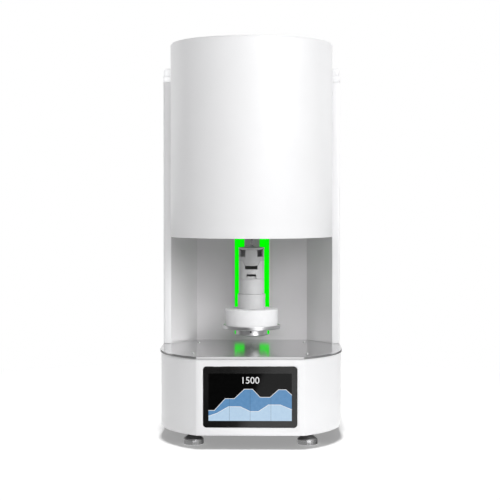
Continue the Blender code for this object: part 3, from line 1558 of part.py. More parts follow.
def make_crucible_lid():
    inner = TUBE_RADIUS - CRUCIBLE_WALL - SLIP_GAP
    top = LID_Z + LID_THICKNESS
    profile = [
        (0, top),
        (TUBE_RADIUS + LID_OVERHANG, top),
        (TUBE_RADIUS + LID_OVERHANG, LID_Z),
        (inner, LID_Z),
        (inner, LID_Z - LID_SPIGOT),
        (0, LID_Z - LID_SPIGOT),
    ]
    return add(turned("crucible_lid", profile), "ceramic")


def make_lift():
    carriage = body_empty("lift_axis", (0, LIFT_Y, CARRIAGE_LOW_Z))
    carry(carriage, *make_carriage(), make_arm(), *make_platform())
    lower = body_empty("crucible_lower_axis", (0, 0, LOWER_CRUCIBLE_Z))
    carry(lower, make_lower_crucible())
    upper = body_empty("crucible_upper_axis", (0, 0, UPPER_CRUCIBLE_Z))
    carry(upper, make_upper_crucible())
    lid = body_empty("lid_axis", (0, 0, LID_Z))
    carry(lid, make_crucible_lid())
    carry(upper, lid)
    carry(lower, upper)
    carry(carriage, lower)


clear_scene()
furnace = new_collection("dental_furnace")
tools = new_collection("cutters")
finishes = make_materials()
make_skirt()
make_pan()
make_deck()
make_base_rear_panel()
make_feet()
make_screen()
make_electrics()
make_fan()
make_power_inlet()
make_power_switch()
make_column_sides()
make_rear_cover()
make_trim_band()
make_top_cap()
make_bay()
make_head_shell()
make_head_top_cover()
make_hot_zone()
make_heating_elements()
make_thermocouple()
make_lift_frame()
make_motor()
make_screw()
make_lift()
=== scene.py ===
import math

import bmesh
import bpy
from mathutils import Matrix, Vector


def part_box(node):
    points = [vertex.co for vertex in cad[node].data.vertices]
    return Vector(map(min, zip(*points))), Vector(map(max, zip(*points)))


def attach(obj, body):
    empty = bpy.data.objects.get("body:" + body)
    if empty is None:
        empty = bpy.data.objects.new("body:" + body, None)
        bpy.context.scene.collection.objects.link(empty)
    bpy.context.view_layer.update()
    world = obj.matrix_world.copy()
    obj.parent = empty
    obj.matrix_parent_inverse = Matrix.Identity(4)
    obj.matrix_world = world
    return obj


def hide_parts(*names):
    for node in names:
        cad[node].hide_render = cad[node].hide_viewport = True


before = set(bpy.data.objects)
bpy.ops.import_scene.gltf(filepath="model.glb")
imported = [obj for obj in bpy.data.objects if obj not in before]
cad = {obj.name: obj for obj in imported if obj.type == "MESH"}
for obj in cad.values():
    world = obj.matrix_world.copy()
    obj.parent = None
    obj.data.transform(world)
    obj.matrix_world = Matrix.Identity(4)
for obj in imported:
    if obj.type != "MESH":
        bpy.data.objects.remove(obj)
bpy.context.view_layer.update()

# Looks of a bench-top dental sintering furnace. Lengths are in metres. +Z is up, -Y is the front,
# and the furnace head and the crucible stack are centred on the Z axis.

scene = bpy.context.scene
WHITE = (1.0, 1.0, 1.0, 1.0)
BLACK = (0.0, 0.0, 0.0, 1.0)


# Camera, light and floor

CAMERA_AT = (0.032, -2.6186, 0.462)
CAMERA_LENS = 94.1
CAMERA_SENSOR = 36.0
CAMERA_REACH = 200.0
CAMERA_TILT = math.radians(88.86)
CAMERA_TURN = math.radians(0.765)
CAMERA_SHIFT = -0.05
AMBIENT = 0.12
# Distance, width and height of the lamps in front and of those behind
FRONT_SIZE = (10.0, 4.8, 4.8)
REAR_SIZE = (4.0, 1.4, 2.2)
# Azimuth from the front and height in degrees, distance and size, power, and if gloss shows it
LAMPS = {
    "front_lamp": (0, 42, *FRONT_SIZE, 290.0, False),
    "low_lamp": (0, 20, *FRONT_SIZE, 80.0, False),
    "left_lamp": (-30, 42, *FRONT_SIZE, 72.0, True),
    "key_lamp": (30, 20, *FRONT_SIZE, 314.0, True),
    "right_lamp": (60, 20, *FRONT_SIZE, 248.0, True),
    "left_rim_lamp": (-125, 15, *REAR_SIZE, 28.0, False),
    "rear_left_lamp": (-145, 15, *REAR_SIZE, 24.0, False),
    "right_rim_lamp": (135, 15, *REAR_SIZE, 16.0, False),
    "rear_right_lamp": (165, 15, *REAR_SIZE, 37.0, False),
}
LAMP_AIM = Vector((0.0, 0.0, 0.40))
CAP_LAMP_AT = Vector((-0.42, -0.75, 0.74))
CAP_LAMP_SIZE = 0.25
CAP_LAMP_POWER = 2.4
# The bay's right splay in plan: X of its rear corner, its sheet's thickness and X of its front edge
SPLAY_CORNER_X = 0.1140
LINER_SHEET = 0.0012
SPLAY_EDGE_X = 0.1625
BOUNCE_SIZE = (0.09, 0.09)
BOUNCE_SHARE = 0.85
BOUNCE_CLEARANCE = 0.002
# Side of the bay and power of the lamp that stands for the deck's bounce on that splay
BOUNCE_LAMPS = (("left", -1, 0.018), ("right", 1, 0.0055))
SLOT_LAMP_TILT = math.radians(84)
SLOT_LAMP_POWER = 1.8
# One lamp almost straight above lights the floor alone, so that the shadow follows the base
FLOOR_LAMP_RISE = 9.0
FLOOR_LAMP_SPREAD = math.radians(4)
FLOOR_LAMP_TILT = math.radians(-3.5)
FLOOR_LAMP_POWER = 2.1
FLOOR_HALF = 30.0
FLOOR_DROP = 0.0002
FLOOR_GLOW = 0.30
FLOOR_BOUNCE = (0.86, 0.86, 0.86, 1.0)
FLOOR_SEEN = (0.93, 0.93, 0.93, 1.0)
# Distances from the object over which the floor turns from lit to plain white
FLOOR_LIT_TO = 0.60
FLOOR_WHITE_FROM = 1.10
FLAG_RISE = 0.0005
# Name, brightness, outlines that lie on the floor, line of the part that stands, and its height
FLAGS = (
    (
        "glass_flag", 0.03,
        (((-0.0304, -0.24), (0.0776, -2.4), (-1.2, -2.4), (-0.9, -0.7), (-0.42, -0.24)),),
        ((0.0776, -2.4), (-1.2, -2.4)), 0.35,
    ),
    (
        "left_flag", 0.22, (((-0.9, -0.7), (-1.2, -2.4), (-1.9, -2.4), (-1.9, 0.3), (-0.9, 0.3)),),
        ((-0.42, -2.41), (-1.9, -2.41), (-1.9, 0.8)), 2.2,
    ),
    (
        "right_flag", 0.30, (((0.42, -0.60), (0.9, 0.3), (1.9, 0.3), (1.9, -1.7), (1.5, -1.7)),),
        ((1.9, -1.7), (1.9, 1.0)), 2.2,
    ),
    # Low cards behind, which only the ends of the deck's lip see
    ("left_lip_flag", 0.22, (), ((-1.9, 0.8), (-1.9, 1.6), (-0.75, 2.1), (-0.25, 2.2)), 0.33),
    ("right_lip_flag", 0.22, (), ((1.9, 1.0), (1.9, 1.6), (0.75, 2.1), (0.25, 2.2)), 0.33),
)
FOOT_FLAG_REACH = 0.110
FOOT_FLAG_STEPS = 12
# Turns in degrees from the front, over which a foot's side shows a card, and the card's level
FOOT_FLAG_SPANS = ((-66, -3, 0.29), (19, 34, 0.40), (34, 52, 0.24), (52, 88, 0.12))


def new_tree(owner):
    """Clears a material's or a world's node tree, and returns it."""
    owner.use_nodes = True
    owner.node_tree.nodes.clear()
    return owner.node_tree


def add_object(name, data):
    obj = bpy.data.objects.new(name, data)
    scene.collection.objects.link(obj)
    return obj


def new_node(tree, kind, **inputs):
    """A new shader node with values or other nodes' outputs on its sockets, whose names have
    underscores for spaces."""
    made = tree.nodes.new("ShaderNode" + kind)
    for name, value in inputs.items():
        socket = made.inputs[name.replace("_", " ")]
        if isinstance(value, bpy.types.NodeSocket):
            tree.links.new(value, socket)
        else:
            socket.default_value = value
    return made


def combined(tree, kind, *sources, operation=None):
    """The output of a new node whose sockets take other nodes' outputs in turn."""
    made = new_node(tree, kind)
    if operation:
        made.operation = operation
    for socket, source in zip(made.inputs, sources):
        tree.links.new(source, socket)
    return made.outputs[0]


def emission(tree, strength):
    return new_node(tree, "Emission", Color=WHITE, Strength=strength).outputs[0]


def seen_directly(tree):
    """1 for a ray from the camera, gloss or glass, and 0 for a ray that carries light."""
    rays = new_node(tree, "LightPath").outputs
    seen = rays["Is Camera Ray"]
    for kind in ("Is Glossy Ray", "Is Transmission Ray"):
        seen = combined(tree, "Math", seen, rays[kind], operation="MAXIMUM")
    return seen


def make_camera():
    data = bpy.data.cameras.new("camera")
    data.lens = CAMERA_LENS
    data.sensor_width = CAMERA_SENSOR
    data.sensor_fit = "HORIZONTAL"
    data.shift_y = CAMERA_SHIFT
    data.clip_end = CAMERA_REACH
    camera = add_object("camera", data)
    camera.location = CAMERA_AT
    camera.rotation_euler = (CAMERA_TILT, 0, CAMERA_TURN)
    scene.camera = camera


def make_world():
    world = bpy.data.worlds.new("studio")
    scene.world = world
    tree = new_tree(world)
    light = new_node(tree, "Background", Color=WHITE, Strength=AMBIENT)
    seen = new_node(tree, "Background", Color=WHITE, Strength=1.0)
    shader = combined(
        tree, "MixShader", seen_directly(tree), light.outputs[0], seen.outputs[0]
    )
    new_node(tree, "OutputWorld", Surface=shader)


def add_lamp(name, kind, power, *size):
    """A lamp, which is a rectangle if it has a width and a height."""
    data = bpy.data.lights.new(name, kind)
    data.energy = power
    if size:
        data.shape = "RECTANGLE"
        data.size, data.size_y = size
    return add_object(name, data)


def collected(name, *objects):
    """A collection that a lamp's light can be kept to."""
    made = bpy.data.collections.new(name)
    for obj in objects:
        made.objects.link(obj)
    return made


def make_lamps():
    for name, (azimuth, height, distance, width, tall, power, glossy) in LAMPS.items():
        lamp = add_lamp(name, "AREA", power, width, tall)
        around, up = math.radians(azimuth), math.radians(height)
        way = Vector(
            (math.sin(around) * math.cos(up), -math.cos(around) * math.cos(up), math.sin(up))
        )
        lamp.location = LAMP_AIM + way * distance
        lamp.rotation_euler = way.to_track_quat("Z", "Y").to_euler()
        lamp.visible_glossy = glossy


def make_cap_lamp():
    """A small lamp beside the head that lights the column's cap and trim band alone."""
    lamp = add_lamp("cap_lamp", "AREA", CAP_LAMP_POWER)
    lamp.data.size = CAP_LAMP_SIZE
    lamp.location = CAP_LAMP_AT
    corner = low_of("column_top_cap")
    aim = Vector((corner.x, corner.y, CAP_LAMP_AT.z))
    lamp.rotation_euler = (CAP_LAMP_AT - aim).to_track_quat("Z", "Y").to_euler()
    lamp.light_linking.receiver_collection = collected(
        "cap_alone", cad["column_top_cap"], cad["column_trim_band"]
    )


def make_bounce_lamps():
    """Lamps lying on the deck, for the light that it throws up on the foot of the bay's splays."""
    low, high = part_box("alcove_liner")
    corner = Vector((SPLAY_CORNER_X, high.y - LINER_SHEET))
    edge = Vector((SPLAY_EDGE_X, low.y))
    middle = corner + (edge - corner) * BOUNCE_SHARE
    along = (corner - edge).normalized()
    inward = Vector((-along.y, along.x))
    spot = middle + inward * (BOUNCE_SIZE[1] / 2 + BOUNCE_CLEARANCE)
    alone = collected("liner_alone", cad["alcove_liner"])
    for name, side, power in BOUNCE_LAMPS:
        lamp = add_lamp("bounce_lamp_" + name, "AREA", power, *BOUNCE_SIZE)
        lamp.location = (side * spot.x, spot.y, high_of("deck_plate").z + BOUNCE_CLEARANCE)
        lamp.rotation_euler = (math.pi, 0, math.atan2(along.y, side * along.x))
        lamp.visible_camera = False
        lamp.visible_glossy = False
        lamp.visible_transmission = False
        lamp.light_linking.receiver_collection = alone


def make_slot_lamp():
    """Lights the plate seen between the slot's lips, and nothing else."""
    lamp = add_lamp("slot_lamp", "SUN", SLOT_LAMP_POWER)
    lamp.data.use_shadow = False
    lamp.rotation_euler = (SLOT_LAMP_TILT, 0, 0)
    lamp.light_linking.receiver_collection = collected("plate_alone", cad["chassis_plate"])


def make_floor_lamp(floor):
    """Gives the floor a lamp of its own, and keeps the other lamps off it."""
    others = collected("all_but_floor", floor)
    others.collection_objects[0].light_linking.link_state = "EXCLUDE"
    for name in LAMPS:
        bpy.data.objects[name].light_linking.receiver_collection = others
    lamp = add_lamp("floor_lamp", "SUN", FLOOR_LAMP_POWER)
    lamp.data.angle = FLOOR_LAMP_SPREAD
    lamp.location = (0, 0, FLOOR_LAMP_RISE)
    lamp.rotation_euler = (FLOOR_LAMP_TILT, 0, 0)
    lamp.light_linking.receiver_collection = collected("floor_alone", floor)


FEET = [f"foot_{end}_{side}" for side in ("left", "right") for end in ("front", "rear")]


def make_floor():
    form = bmesh.new()
    bmesh.ops.create_grid(form, x_segments=2, y_segments=2, size=FLOOR_HALF)
    bmesh.ops.translate(form, vec=(0, 0, -FLOOR_DROP), verts=form.verts)
    floor = mesh_object("studio_floor", form)
    surface = bpy.data.materials.new("studio_floor")
    tree = new_tree(surface)
    matt = new_node(tree, "BsdfDiffuse", Color=FLOOR_BOUNCE).outputs[0]
    lit = new_node(tree, "BsdfDiffuse", Color=FLOOR_SEEN).outputs[0]
    near = combined(tree, "AddShader", lit, emission(tree, FLOOR_GLOW))
    distance = new_node(tree, "VectorMath", Vector=new_node(tree, "TexCoord").outputs["Object"])
    distance.operation = "LENGTH"
    fade = new_node(
        tree, "MapRange", Value=distance.outputs["Value"],
        From_Min=FLOOR_LIT_TO, From_Max=FLOOR_WHITE_FROM,
    )
    seen = combined(tree, "MixShader", fade.outputs[0], near, emission(tree, 1.0))
    shader = combined(tree, "MixShader", seen_directly(tree), matt, seen)
    new_node(tree, "OutputMaterial", Surface=shader)
    floor.data.materials.append(surface)
    return floor


def plan_circle(node):
    """The centre and the radius of a round node seen from above."""
    low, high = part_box(node)
    return ((low.x + high.x) / 2, (low.y + high.y) / 2), (high.x - low.x) / 2


def foot_flag_outlines(first, last):
    """Patches on the floor that the feet's discs mirror between two turns of their side."""
    shares = [step / FOOT_FLAG_STEPS for step in range(FOOT_FLAG_STEPS + 1)]
    turns = [math.radians(first + (last - first) * share) for share in shares]
    outlines = []
    for node in FEET:
        centre, radius = plan_circle(node)
        near = [Vector(centre) + radius * Vector((math.sin(t), -math.cos(t))) for t in turns]
        far = [
            spot + FOOT_FLAG_REACH * Vector((math.sin(2 * t), -math.cos(2 * t)))
            for spot, t in zip(near, turns)
        ]
        outlines.append([tuple(spot) for spot in near + far[::-1]])
    return outlines


def make_flags():
    """Cards beside the furnace that only its gloss shows. They shade nothing."""
    foot_flags = [
        (f"foot_flag_{number}", level, foot_flag_outlines(first, last), (), 0.0)
        for number, (first, last, level) in enumerate(FOOT_FLAG_SPANS)
    ]
    for name, level, grounds, wall, height in (*FLAGS, *foot_flags):
        mesh = bpy.data.meshes.new(name)
        spots = []
        faces = []
        for ground in grounds:
            faces.append(tuple(range(len(spots), len(spots) + len(ground))))
            spots += [(x, y, FLAG_RISE) for x, y in ground]
        base = len(spots)
        spots += [(x, y, z) for x, y in wall for z in (FLAG_RISE, height)]
        faces += [
            (base + 2 * i, base + 2 * i + 2, base + 2 * i + 3, base + 2 * i + 1)
            for i in range(len(wall) - 1)
        ]
        mesh.from_pydata(spots, [], faces)
        card = add_object(name, mesh)
        surface = bpy.data.materials.new(name)
        tree = new_tree(surface)
        new_node(tree, "OutputMaterial", Surface=emission(tree, level))
        mesh.materials.append(surface)
        card.visible_camera = False
        card.visible_diffuse = False
        card.visible_transmission = False
        card.visible_shadow = False


# Materials

# The part of the noise's range that is spread over a surface's own range
NOISE_LOW = 0.3
NOISE_HIGH = 0.7
NOISE_ROUGHNESS = 0.55
# Places of a mix node's two colours and of its mixed colour
MIX_COLOURS = (6, 7)
MIX_RESULT = 2
# Cycles per metre of a lit surface's drift in brightness and of its grain
GLOW_PATCH = 160
GLOW_GRAIN = 900


def noise(tree, grain, detail=4.0):
    """Noise over the object's own coordinates, by its cycles per metre every way or on X, Y, Z."""
    scale = grain if isinstance(grain, tuple) else (grain, grain, grain)
    place = new_node(tree, "TexCoord").outputs["Object"]
    scaled = new_node(tree, "Mapping", Vector=place, Scale=scale).outputs[0]
    return new_node(
        tree, "TexNoise", Vector=scaled, Scale=1.0, Detail=detail, Roughness=NOISE_ROUGHNESS
    ).outputs["Fac"]


def spread(tree, source, low, high):
    """Turns noise into a range of values."""
    return new_node(
        tree, "MapRange", Value=source,
        From_Min=NOISE_LOW, From_Max=NOISE_HIGH, To_Min=low, To_Max=high,
    ).outputs[0]


def mixed_colour(tree, source, shades):
    """A colour that drifts between two shades with noise."""
    mix = new_node(tree, "Mix", Factor=spread(tree, source, 0.0, 1.0))
    mix.data_type = "RGBA"
    for socket, shade in zip(MIX_COLOURS, shades):
        mix.inputs[socket].default_value = (*shade, 1.0)
    return mix.outputs[MIX_RESULT]


def material(name, shades, roughness, patch, grain, bump, metallic=0.0, detail=4.0, gloss=0.5):
    """A surface whose colour drifts between two shades over patches, with a fine grain in its
    roughness and height. The bump is a height in metres."""
    made = bpy.data.materials.new(name)
    tree = new_tree(made)
    fine = noise(tree, grain, detail)
    shader = new_node(
        tree, "BsdfPrincipled", Metallic=metallic, Specular_IOR_Level=gloss,
        Base_Color=mixed_colour(tree, noise(tree, patch), shades),
        Roughness=spread(tree, fine, *roughness),
        Normal=new_node(tree, "Bump", Strength=1.0, Distance=bump, Height=fine).outputs[0],
    )
    new_node(tree, "OutputMaterial", Surface=shader.outputs[0])
    return made


def glowing(name, shades, roughness=(0.05, 0.07), gloss=0.24):
    """A lit surface, such as a light bar or a drawn part of the display."""
    made = bpy.data.materials.new(name)
    tree = new_tree(made)
    shader = new_node(
        tree, "BsdfPrincipled", Base_Color=BLACK, Specular_IOR_Level=gloss, Emission_Strength=1.0,
        Emission_Color=mixed_colour(tree, noise(tree, GLOW_PATCH, 2.0), shades),
        Roughness=spread(tree, noise(tree, GLOW_GRAIN), *roughness),
    )
    new_node(tree, "OutputMaterial", Surface=shader.outputs[0])
    return made


def grey(*levels, red=1.0, blue=1.01):
    return [(level * red, level, level * blue) for level in levels]


# Cycles per metre of the fine rings on turned metal
TURNED = (3, 3, 2200)
FINE_TURNED = (3, 3, 2600)
# Shades, roughness, cycles per metre of the patches and of the grain, height of the grain, and
# for some how metallic the surface is, the detail of its grain and its gloss
FINISHES = {
    "white_paint": (grey(0.845, 0.865), (0.28, 0.36), 9, 1300, 10e-6),
    # The bay paint's red and blue are raised a little: a painted tint that offsets the green light
    # that the light bars throw on the bay
    "bay_paint": (
        grey(0.66, 0.69, red=1.022, blue=1.022), (0.46, 0.56), 9, 1300, 12e-6,
        0.0, 4.0, 0.2,
    ),
    "brushed_steel": (grey(0.60, 0.66), (0.15, 0.23), (3, 60, 3), (5, 1500, 5), 3e-6, 1.0, 3.0),
    "steel": (grey(0.72, 0.77), (0.12, 0.20), 20, TURNED, 1.5e-6, 1.0),
    "lip_steel": (grey(0.62, 0.67), (0.14, 0.19), 20, TURNED, 1e-6, 1.0),
    "satin_steel": (grey(0.70, 0.75), (0.27, 0.33), 20, TURNED, 1e-6, 1.0),
    "dark_steel": (grey(0.05, 0.08), (0.38, 0.50), 30, 1800, 8e-6, 1.0),
    "chrome": (grey(0.72, 0.77), (0.15, 0.20), 20, FINE_TURNED, 0.6e-6, 1.0),
    "cone_steel": (grey(0.62, 0.68), (0.48, 0.54), 20, FINE_TURNED, 0.6e-6, 1.0),
    "aluminium": (grey(0.56, 0.62), (0.32, 0.42), 25, (40, 40, 1600), 4e-6, 1.0),
    "brass": (
        ((0.60, 0.43, 0.17), (0.68, 0.50, 0.22)), (0.24, 0.34), 25, (4, 4, 2200), 3e-6, 1.0,
    ),
    "glass_black": (
        grey(0.004, 0.007), (0.17, 0.21), 14, 60, 0.2e-6, 0.0, 4.0, 0.68,
    ),
    "black_plastic": (grey(0.020, 0.028), (0.42, 0.54), 30, 2200, 12e-6),
    "grey_rubber": (grey(0.40, 0.45), (0.70, 0.82), 40, 2600, 20e-6),
    "fibre": (grey(0.85, 0.90), (0.88, 0.96), 55, (420, 420, 1500), 50e-6, 0.0, 8.0),
    "ceramic": (grey(0.60, 0.66), (0.46, 0.58), 45, 1400, 16e-6, 0.0, 6.0),
    # A darker copy of the ceramic for the upper crucible and its lid: painted shade for the shadow
    # that the furnace head casts on them
    "head_shaded_ceramic": (grey(0.49, 0.55), (0.46, 0.58), 45, 1400, 16e-6, 0.0, 6.0),
    "element": (
        ((0.07, 0.06, 0.06), (0.13, 0.11, 0.10)), (0.40, 0.60), 120, 1600, 20e-6, 0.5,
    ),
    "board": (
        ((0.012, 0.10, 0.040), (0.020, 0.16, 0.065)), (0.35, 0.50), (700, 700, 90),
        1400, 20e-6,
    ),
    "mark_white": (grey(0.70, 0.78), (0.45, 0.55), 60, 2200, 4e-6),
}
# Shades, and for the light bars their roughness and gloss too
GLOWS = {
    "light_green": (((0.0, 0.96, 0.0), (0.0, 1.0, 0.0)), (0.30, 0.40), 0.02),
    "display_black": (grey(0.0015, 0.0025),),
    "display_blue": (((0.11, 0.26, 0.48), (0.13, 0.29, 0.52)),),
    "display_pale": (((0.46, 0.62, 0.79), (0.50, 0.66, 0.82)),),
    "display_white": (grey(0.80, 0.92),),
    "display_grid": (((0.05, 0.09, 0.14), (0.07, 0.12, 0.18)),),
}


def make_finishes():
    made = {name: material(name, *values) for name, values in FINISHES.items()}
    made.update({name: glowing(name, *values) for name, values in GLOWS.items()})
    return made


# Forms

SAME_SPOT = 1e-7
ON_AXIS = 1e-9
THROUGH = 0.01


def mesh_object(name, form):
    mesh = bpy.data.meshes.new(name)
    form.to_mesh(mesh)
    form.free()
    return add_object(name, mesh)


def to_object(name, form):
    bmesh.ops.remove_doubles(form, verts=form.verts, dist=SAME_SPOT)
    bmesh.ops.recalc_face_normals(form, faces=form.faces)
    return mesh_object(name, form)


def fillet(corners, steps=5):
    """Points along a line of (across, up, corner radius). The last corner is next to the first."""
    points = []
    count = len(corners)
    for index, (across, up, radius) in enumerate(corners):
        corner = Vector((across, up))
        if not radius:
            points.append(corner)
            continue
        before = (Vector(corners[index - 1][:2]) - corner).normalized()
        after = (Vector(corners[(index + 1) % count][:2]) - corner).normalized()
        half = before.angle(after) / 2
        centre = corner + (before + after).normalized() * radius / math.sin(half)
        reach = radius / math.tan(half)
        start = corner + before * reach - centre
        end = corner + after * reach - centre
        first = math.atan2(start.y, start.x)
        sweep = math.remainder(math.atan2(end.y, end.x) - first, 2 * math.pi)
        for step in range(steps + 1):
            angle = first + sweep * step / steps
            points.append(centre + radius * Vector((math.cos(angle), math.sin(angle))))
    return points


def band(form, first, second):
    """Faces from one ring of corners to the next. A ring on the axis is one corner repeated."""
    for face in zip(first, first[1:] + first[:1], second[1:] + second[:1], second):
        corners = list(dict.fromkeys(face))
        if len(corners) > 2:
            form.faces.new(corners)


def lathe(name, corners, steps=160, centre=(0, 0), axis="Z"):
    """A solid of revolution from a profile of (radius, height, corner radius)."""
    profile = fillet(corners)
    form = bmesh.new()
    rings = []
    for radius, height in profile:
        count = 1 if radius < ON_AXIS else steps
        ring = []
        for step in range(count):
            angle = 2 * math.pi * step / steps
            across, along = radius * math.cos(angle), radius * math.sin(angle)
            if axis == "Z":
                spot = (centre[0] + across, centre[1] + along, height)
            else:
                spot = (centre[0] + across, height, centre[1] - along)
            ring.append(form.verts.new(spot))
        rings.append(ring * (steps // count))
    for first, second in zip(rings, rings[1:]):
        band(form, first, second)
    if profile[0].x > 0 or profile[-1].x > 0:
        band(form, rings[-1], rings[0])
    return to_object(name, form)


def place_in(through, across, along, depth):
    """A point of an outline at a depth, for a prism through X, Y or Z."""
    spot = [across, along]
    spot.insert("XYZ".index(through), depth)
    return spot


def prism_into(form, outline, low, high, through="Z"):
    bottom = [form.verts.new(place_in(through, *point, low)) for point in outline]
    top = [form.verts.new(place_in(through, *point, high)) for point in outline]
    form.faces.new(bottom)
    form.faces.new(top)
    band(form, bottom, top)


def prism(name, outlines, low, high, through="Z"):
    """One or more outlines with a thickness along an axis."""
    form = bmesh.new()
    for outline in outlines:
        prism_into(form, outline, low, high, through)
    return to_object(name, form)


def close_rings(form, rings):
    """Faces from each ring to the next, and one face on the first and on the last."""
    for first, second in zip(rings, rings[1:]):
        band(form, first, second)
    form.faces.new(rings[0])
    form.faces.new(rings[-1])


def rounded_box(width, height, corner, centre=(0, 0), steps=8):
    corners = [
        (centre[0] + side * width / 2, centre[1] + up * height / 2, corner)
        for side, up in ((1, -1), (1, 1), (-1, 1), (-1, -1))
    ]
    return [tuple(p) for p in fillet(corners, steps)]


def circle(radius, centre=(0, 0), steps=24):
    return [
        (
            centre[0] + radius * math.cos(2 * math.pi * i / steps),
            centre[1] + radius * math.sin(2 * math.pi * i / steps),
        )
        for i in range(steps)
    ]


def evaluated_mesh(obj):
    bpy.context.view_layer.update()
    graph = bpy.context.evaluated_depsgraph_get()
    return bpy.data.meshes.new_from_object(obj.evaluated_get(graph))


def remove(obj):
    bpy.data.objects.remove(obj, do_unlink=True)


def cut(obj, *tools):
    """Cuts tools out of an object and removes them."""
    for tool in tools:
        taken = obj.modifiers.new("cut", "BOOLEAN")
        taken.operation = "DIFFERENCE"
        taken.solver = "EXACT"
        taken.object = tool
    mesh = evaluated_mesh(obj)
    obj.modifiers.clear()
    obj.data = mesh
    for tool in tools:
        remove(tool)
    return obj


def turned(obj, angle):
    obj.data.transform(Matrix.Rotation(angle, 4, "Z"))
    return obj


def soften(obj, edge, angle=35, segments=2):
    """Rounds the sharp edges a little, so that they catch the light."""
    obj.data.shade_smooth()
    rounding = obj.modifiers.new("edges", "BEVEL")
    rounding.width = edge
    rounding.segments = segments
    rounding.limit_method = "ANGLE"
    rounding.angle_limit = math.radians(angle)
    rounding.harden_normals = True
    return obj


def smooth(obj, angle=40):
    obj.data.shade_smooth()
    obj.data.set_sharp_from_angle(angle=math.radians(angle))
    return obj


def dress(obj, finish, body="cabinet", hides=()):
    """Gives a finished piece its material and the body that it rides on."""
    obj.data.materials.clear()
    obj.data.materials.append(finishes[finish])
    if hides:
        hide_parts(*hides)
    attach(obj, body)
    return obj


def joined(name, objects):
    """One object from the meshes of several."""
    form = bmesh.new()
    for obj in objects:
        obj.data.transform(obj.matrix_world)
        form.from_mesh(obj.data)
        remove(obj)
    return mesh_object(name, form)


def low_of(node):
    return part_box(node)[0]


def high_of(node):
    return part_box(node)[1]

def middle_of(node):
    low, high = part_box(node)
    return (low + high) / 2


def spots_of(node):
    """The corners of a carried-over node's mesh."""
    return [cad[node].matrix_world @ corner.co for corner in cad[node].data.vertices]


def drum(name, node, top_edge, bottom_edge, steps=160):
    """A solid cylinder of a node's own size about the Z axis, with two rounded edges."""
    low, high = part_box(node)
    top, bottom = (high.x, high.z, top_edge), (high.x, low.z, bottom_edge)
    return lathe(name, [(0, high.z, 0), top, bottom, (0, low.z, 0)], steps)


def turned_piece(name, node, corners, finish, body="lift", steps=160):
    """A solid of revolution that stands for a node."""
    dress(smooth(lathe(name, corners, steps)), finish, body, [node])


# Screws

HEX_SHARE = 0.46
DOME_SHARE = 0.55
FLAT_SHARE = 0.12
SOCKET_FLOOR_SHARE = 0.3
TURN_TO = {
    "+Z": Matrix.Identity(4),
    "+Y": Matrix.Rotation(math.radians(-90), 4, "X"),
}


def screw_set(name, places, way, radius, height, finish, body="cabinet", dome=True):
    """Socket screws whose heads rise by their height from each place, facing one way."""
    edge = height * (DOME_SHARE if dome else FLAT_SHARE)
    profile = [(0, height, 0), (radius, height, edge), (radius, 0, 0), (0, 0, 0)]
    head = lathe(name + "_head", profile, steps=40)
    hexagon = circle(radius * HEX_SHARE, steps=6)
    cut(head, prism(name + "_socket", [hexagon], height * SOCKET_FLOOR_SHARE, height * 2))
    copies = []
    for place in places:
        copy = add_object(name + "_copy", head.data.copy())
        copy.data.transform(Matrix.Translation(place) @ TURN_TO[way])
        copies.append(copy)
    remove(head)
    bpy.context.view_layer.update()
    return dress(smooth(joined(name, copies), 32), finish, body)


# Base cabinet

SHEET = 0.0015
DECK_OVERHANG = 0.0025
FRONT_FLAT_MARGIN = 0.0123
PLAN_STEPS = 56
WINDOW_GAP = 0.001
WINDOW_CORNER = 0.0065
LIP_WALL = 0.0018
LIP_LEAN = 0.0004
# Distance inward and drop of each point of the lip's rounded crest
LIP_CREST = ((0.0, 0.0006), (0.0002, 0.0002), (0.0006, 0.0))
WELL_GAP = 0.0005
WELL_FRONT_Y = 0.0968
WELL_CORNER = 0.002
WELL_REACH = 0.02
DECK_SCREWS_X = 0.1075
DECK_SCREWS_Y = (-0.157, 0.041)
FOOT_STEM = 0.0050
FOOT_COLLAR = 0.0076
FOOT_SIDES = 112


def base_plan(inset):
    """The base's plan from its rear right corner round the front to its rear left corner."""
    half = high_of("base_skirt").x
    front = -low_of("base_skirt").y
    flat_half = high_of("screen_glass").x + FRONT_FLAT_MARGIN
    arc_y = math.sqrt(half**2 - flat_half**2) - front
    radius = half - inset
    end = math.asin((front - inset + arc_y) / radius)
    angles = [end * i / PLAN_STEPS for i in range(PLAN_STEPS + 1)]
    right = [(radius * math.cos(a), arc_y - radius * math.sin(a)) for a in angles]
    return right + [(-x, y) for x, y in reversed(right)]


def base_outline(inset, back):
    around = base_plan(inset)
    return [(around[0][0], back)] + around + [(around[-1][0], back)]


def make_skirt():
    low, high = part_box("base_skirt")
    skirt = prism("painted_skirt", [base_outline(0.0, high.y)], low.z, high.z)
    hollow = prism(
        "hollow", [base_outline(SHEET, high.y + THROUGH)], low.z - THROUGH, high.z + THROUGH
    )
    glass_low, glass_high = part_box("screen_glass")
    opening = rounded_box(
        glass_high.x - glass_low.x + WINDOW_GAP, glass_high.z - glass_low.z + WINDOW_GAP,
        WINDOW_CORNER, (0, middle_of("screen_glass").z),
    )
    window = prism("window", [opening], low.y - THROUGH, low.y + THROUGH, "Y")
    cut(skirt, hollow, window)
    dress(soften(skirt, 0.0005, 50), "white_paint", hides=["base_skirt"])


def rim_along(name, back, profile):
    """A closed profile of (inset, height) carried along the base's plan as far as its back."""
    lines = [base_outline(inset, back) for inset, _ in profile]
    form = bmesh.new()
    close_rings(form, [
        [form.verts.new((*line[spot], height)) for line, (_, height) in zip(lines, profile)]
        for spot in range(len(lines[0]))
    ])
    return to_object(name, form)


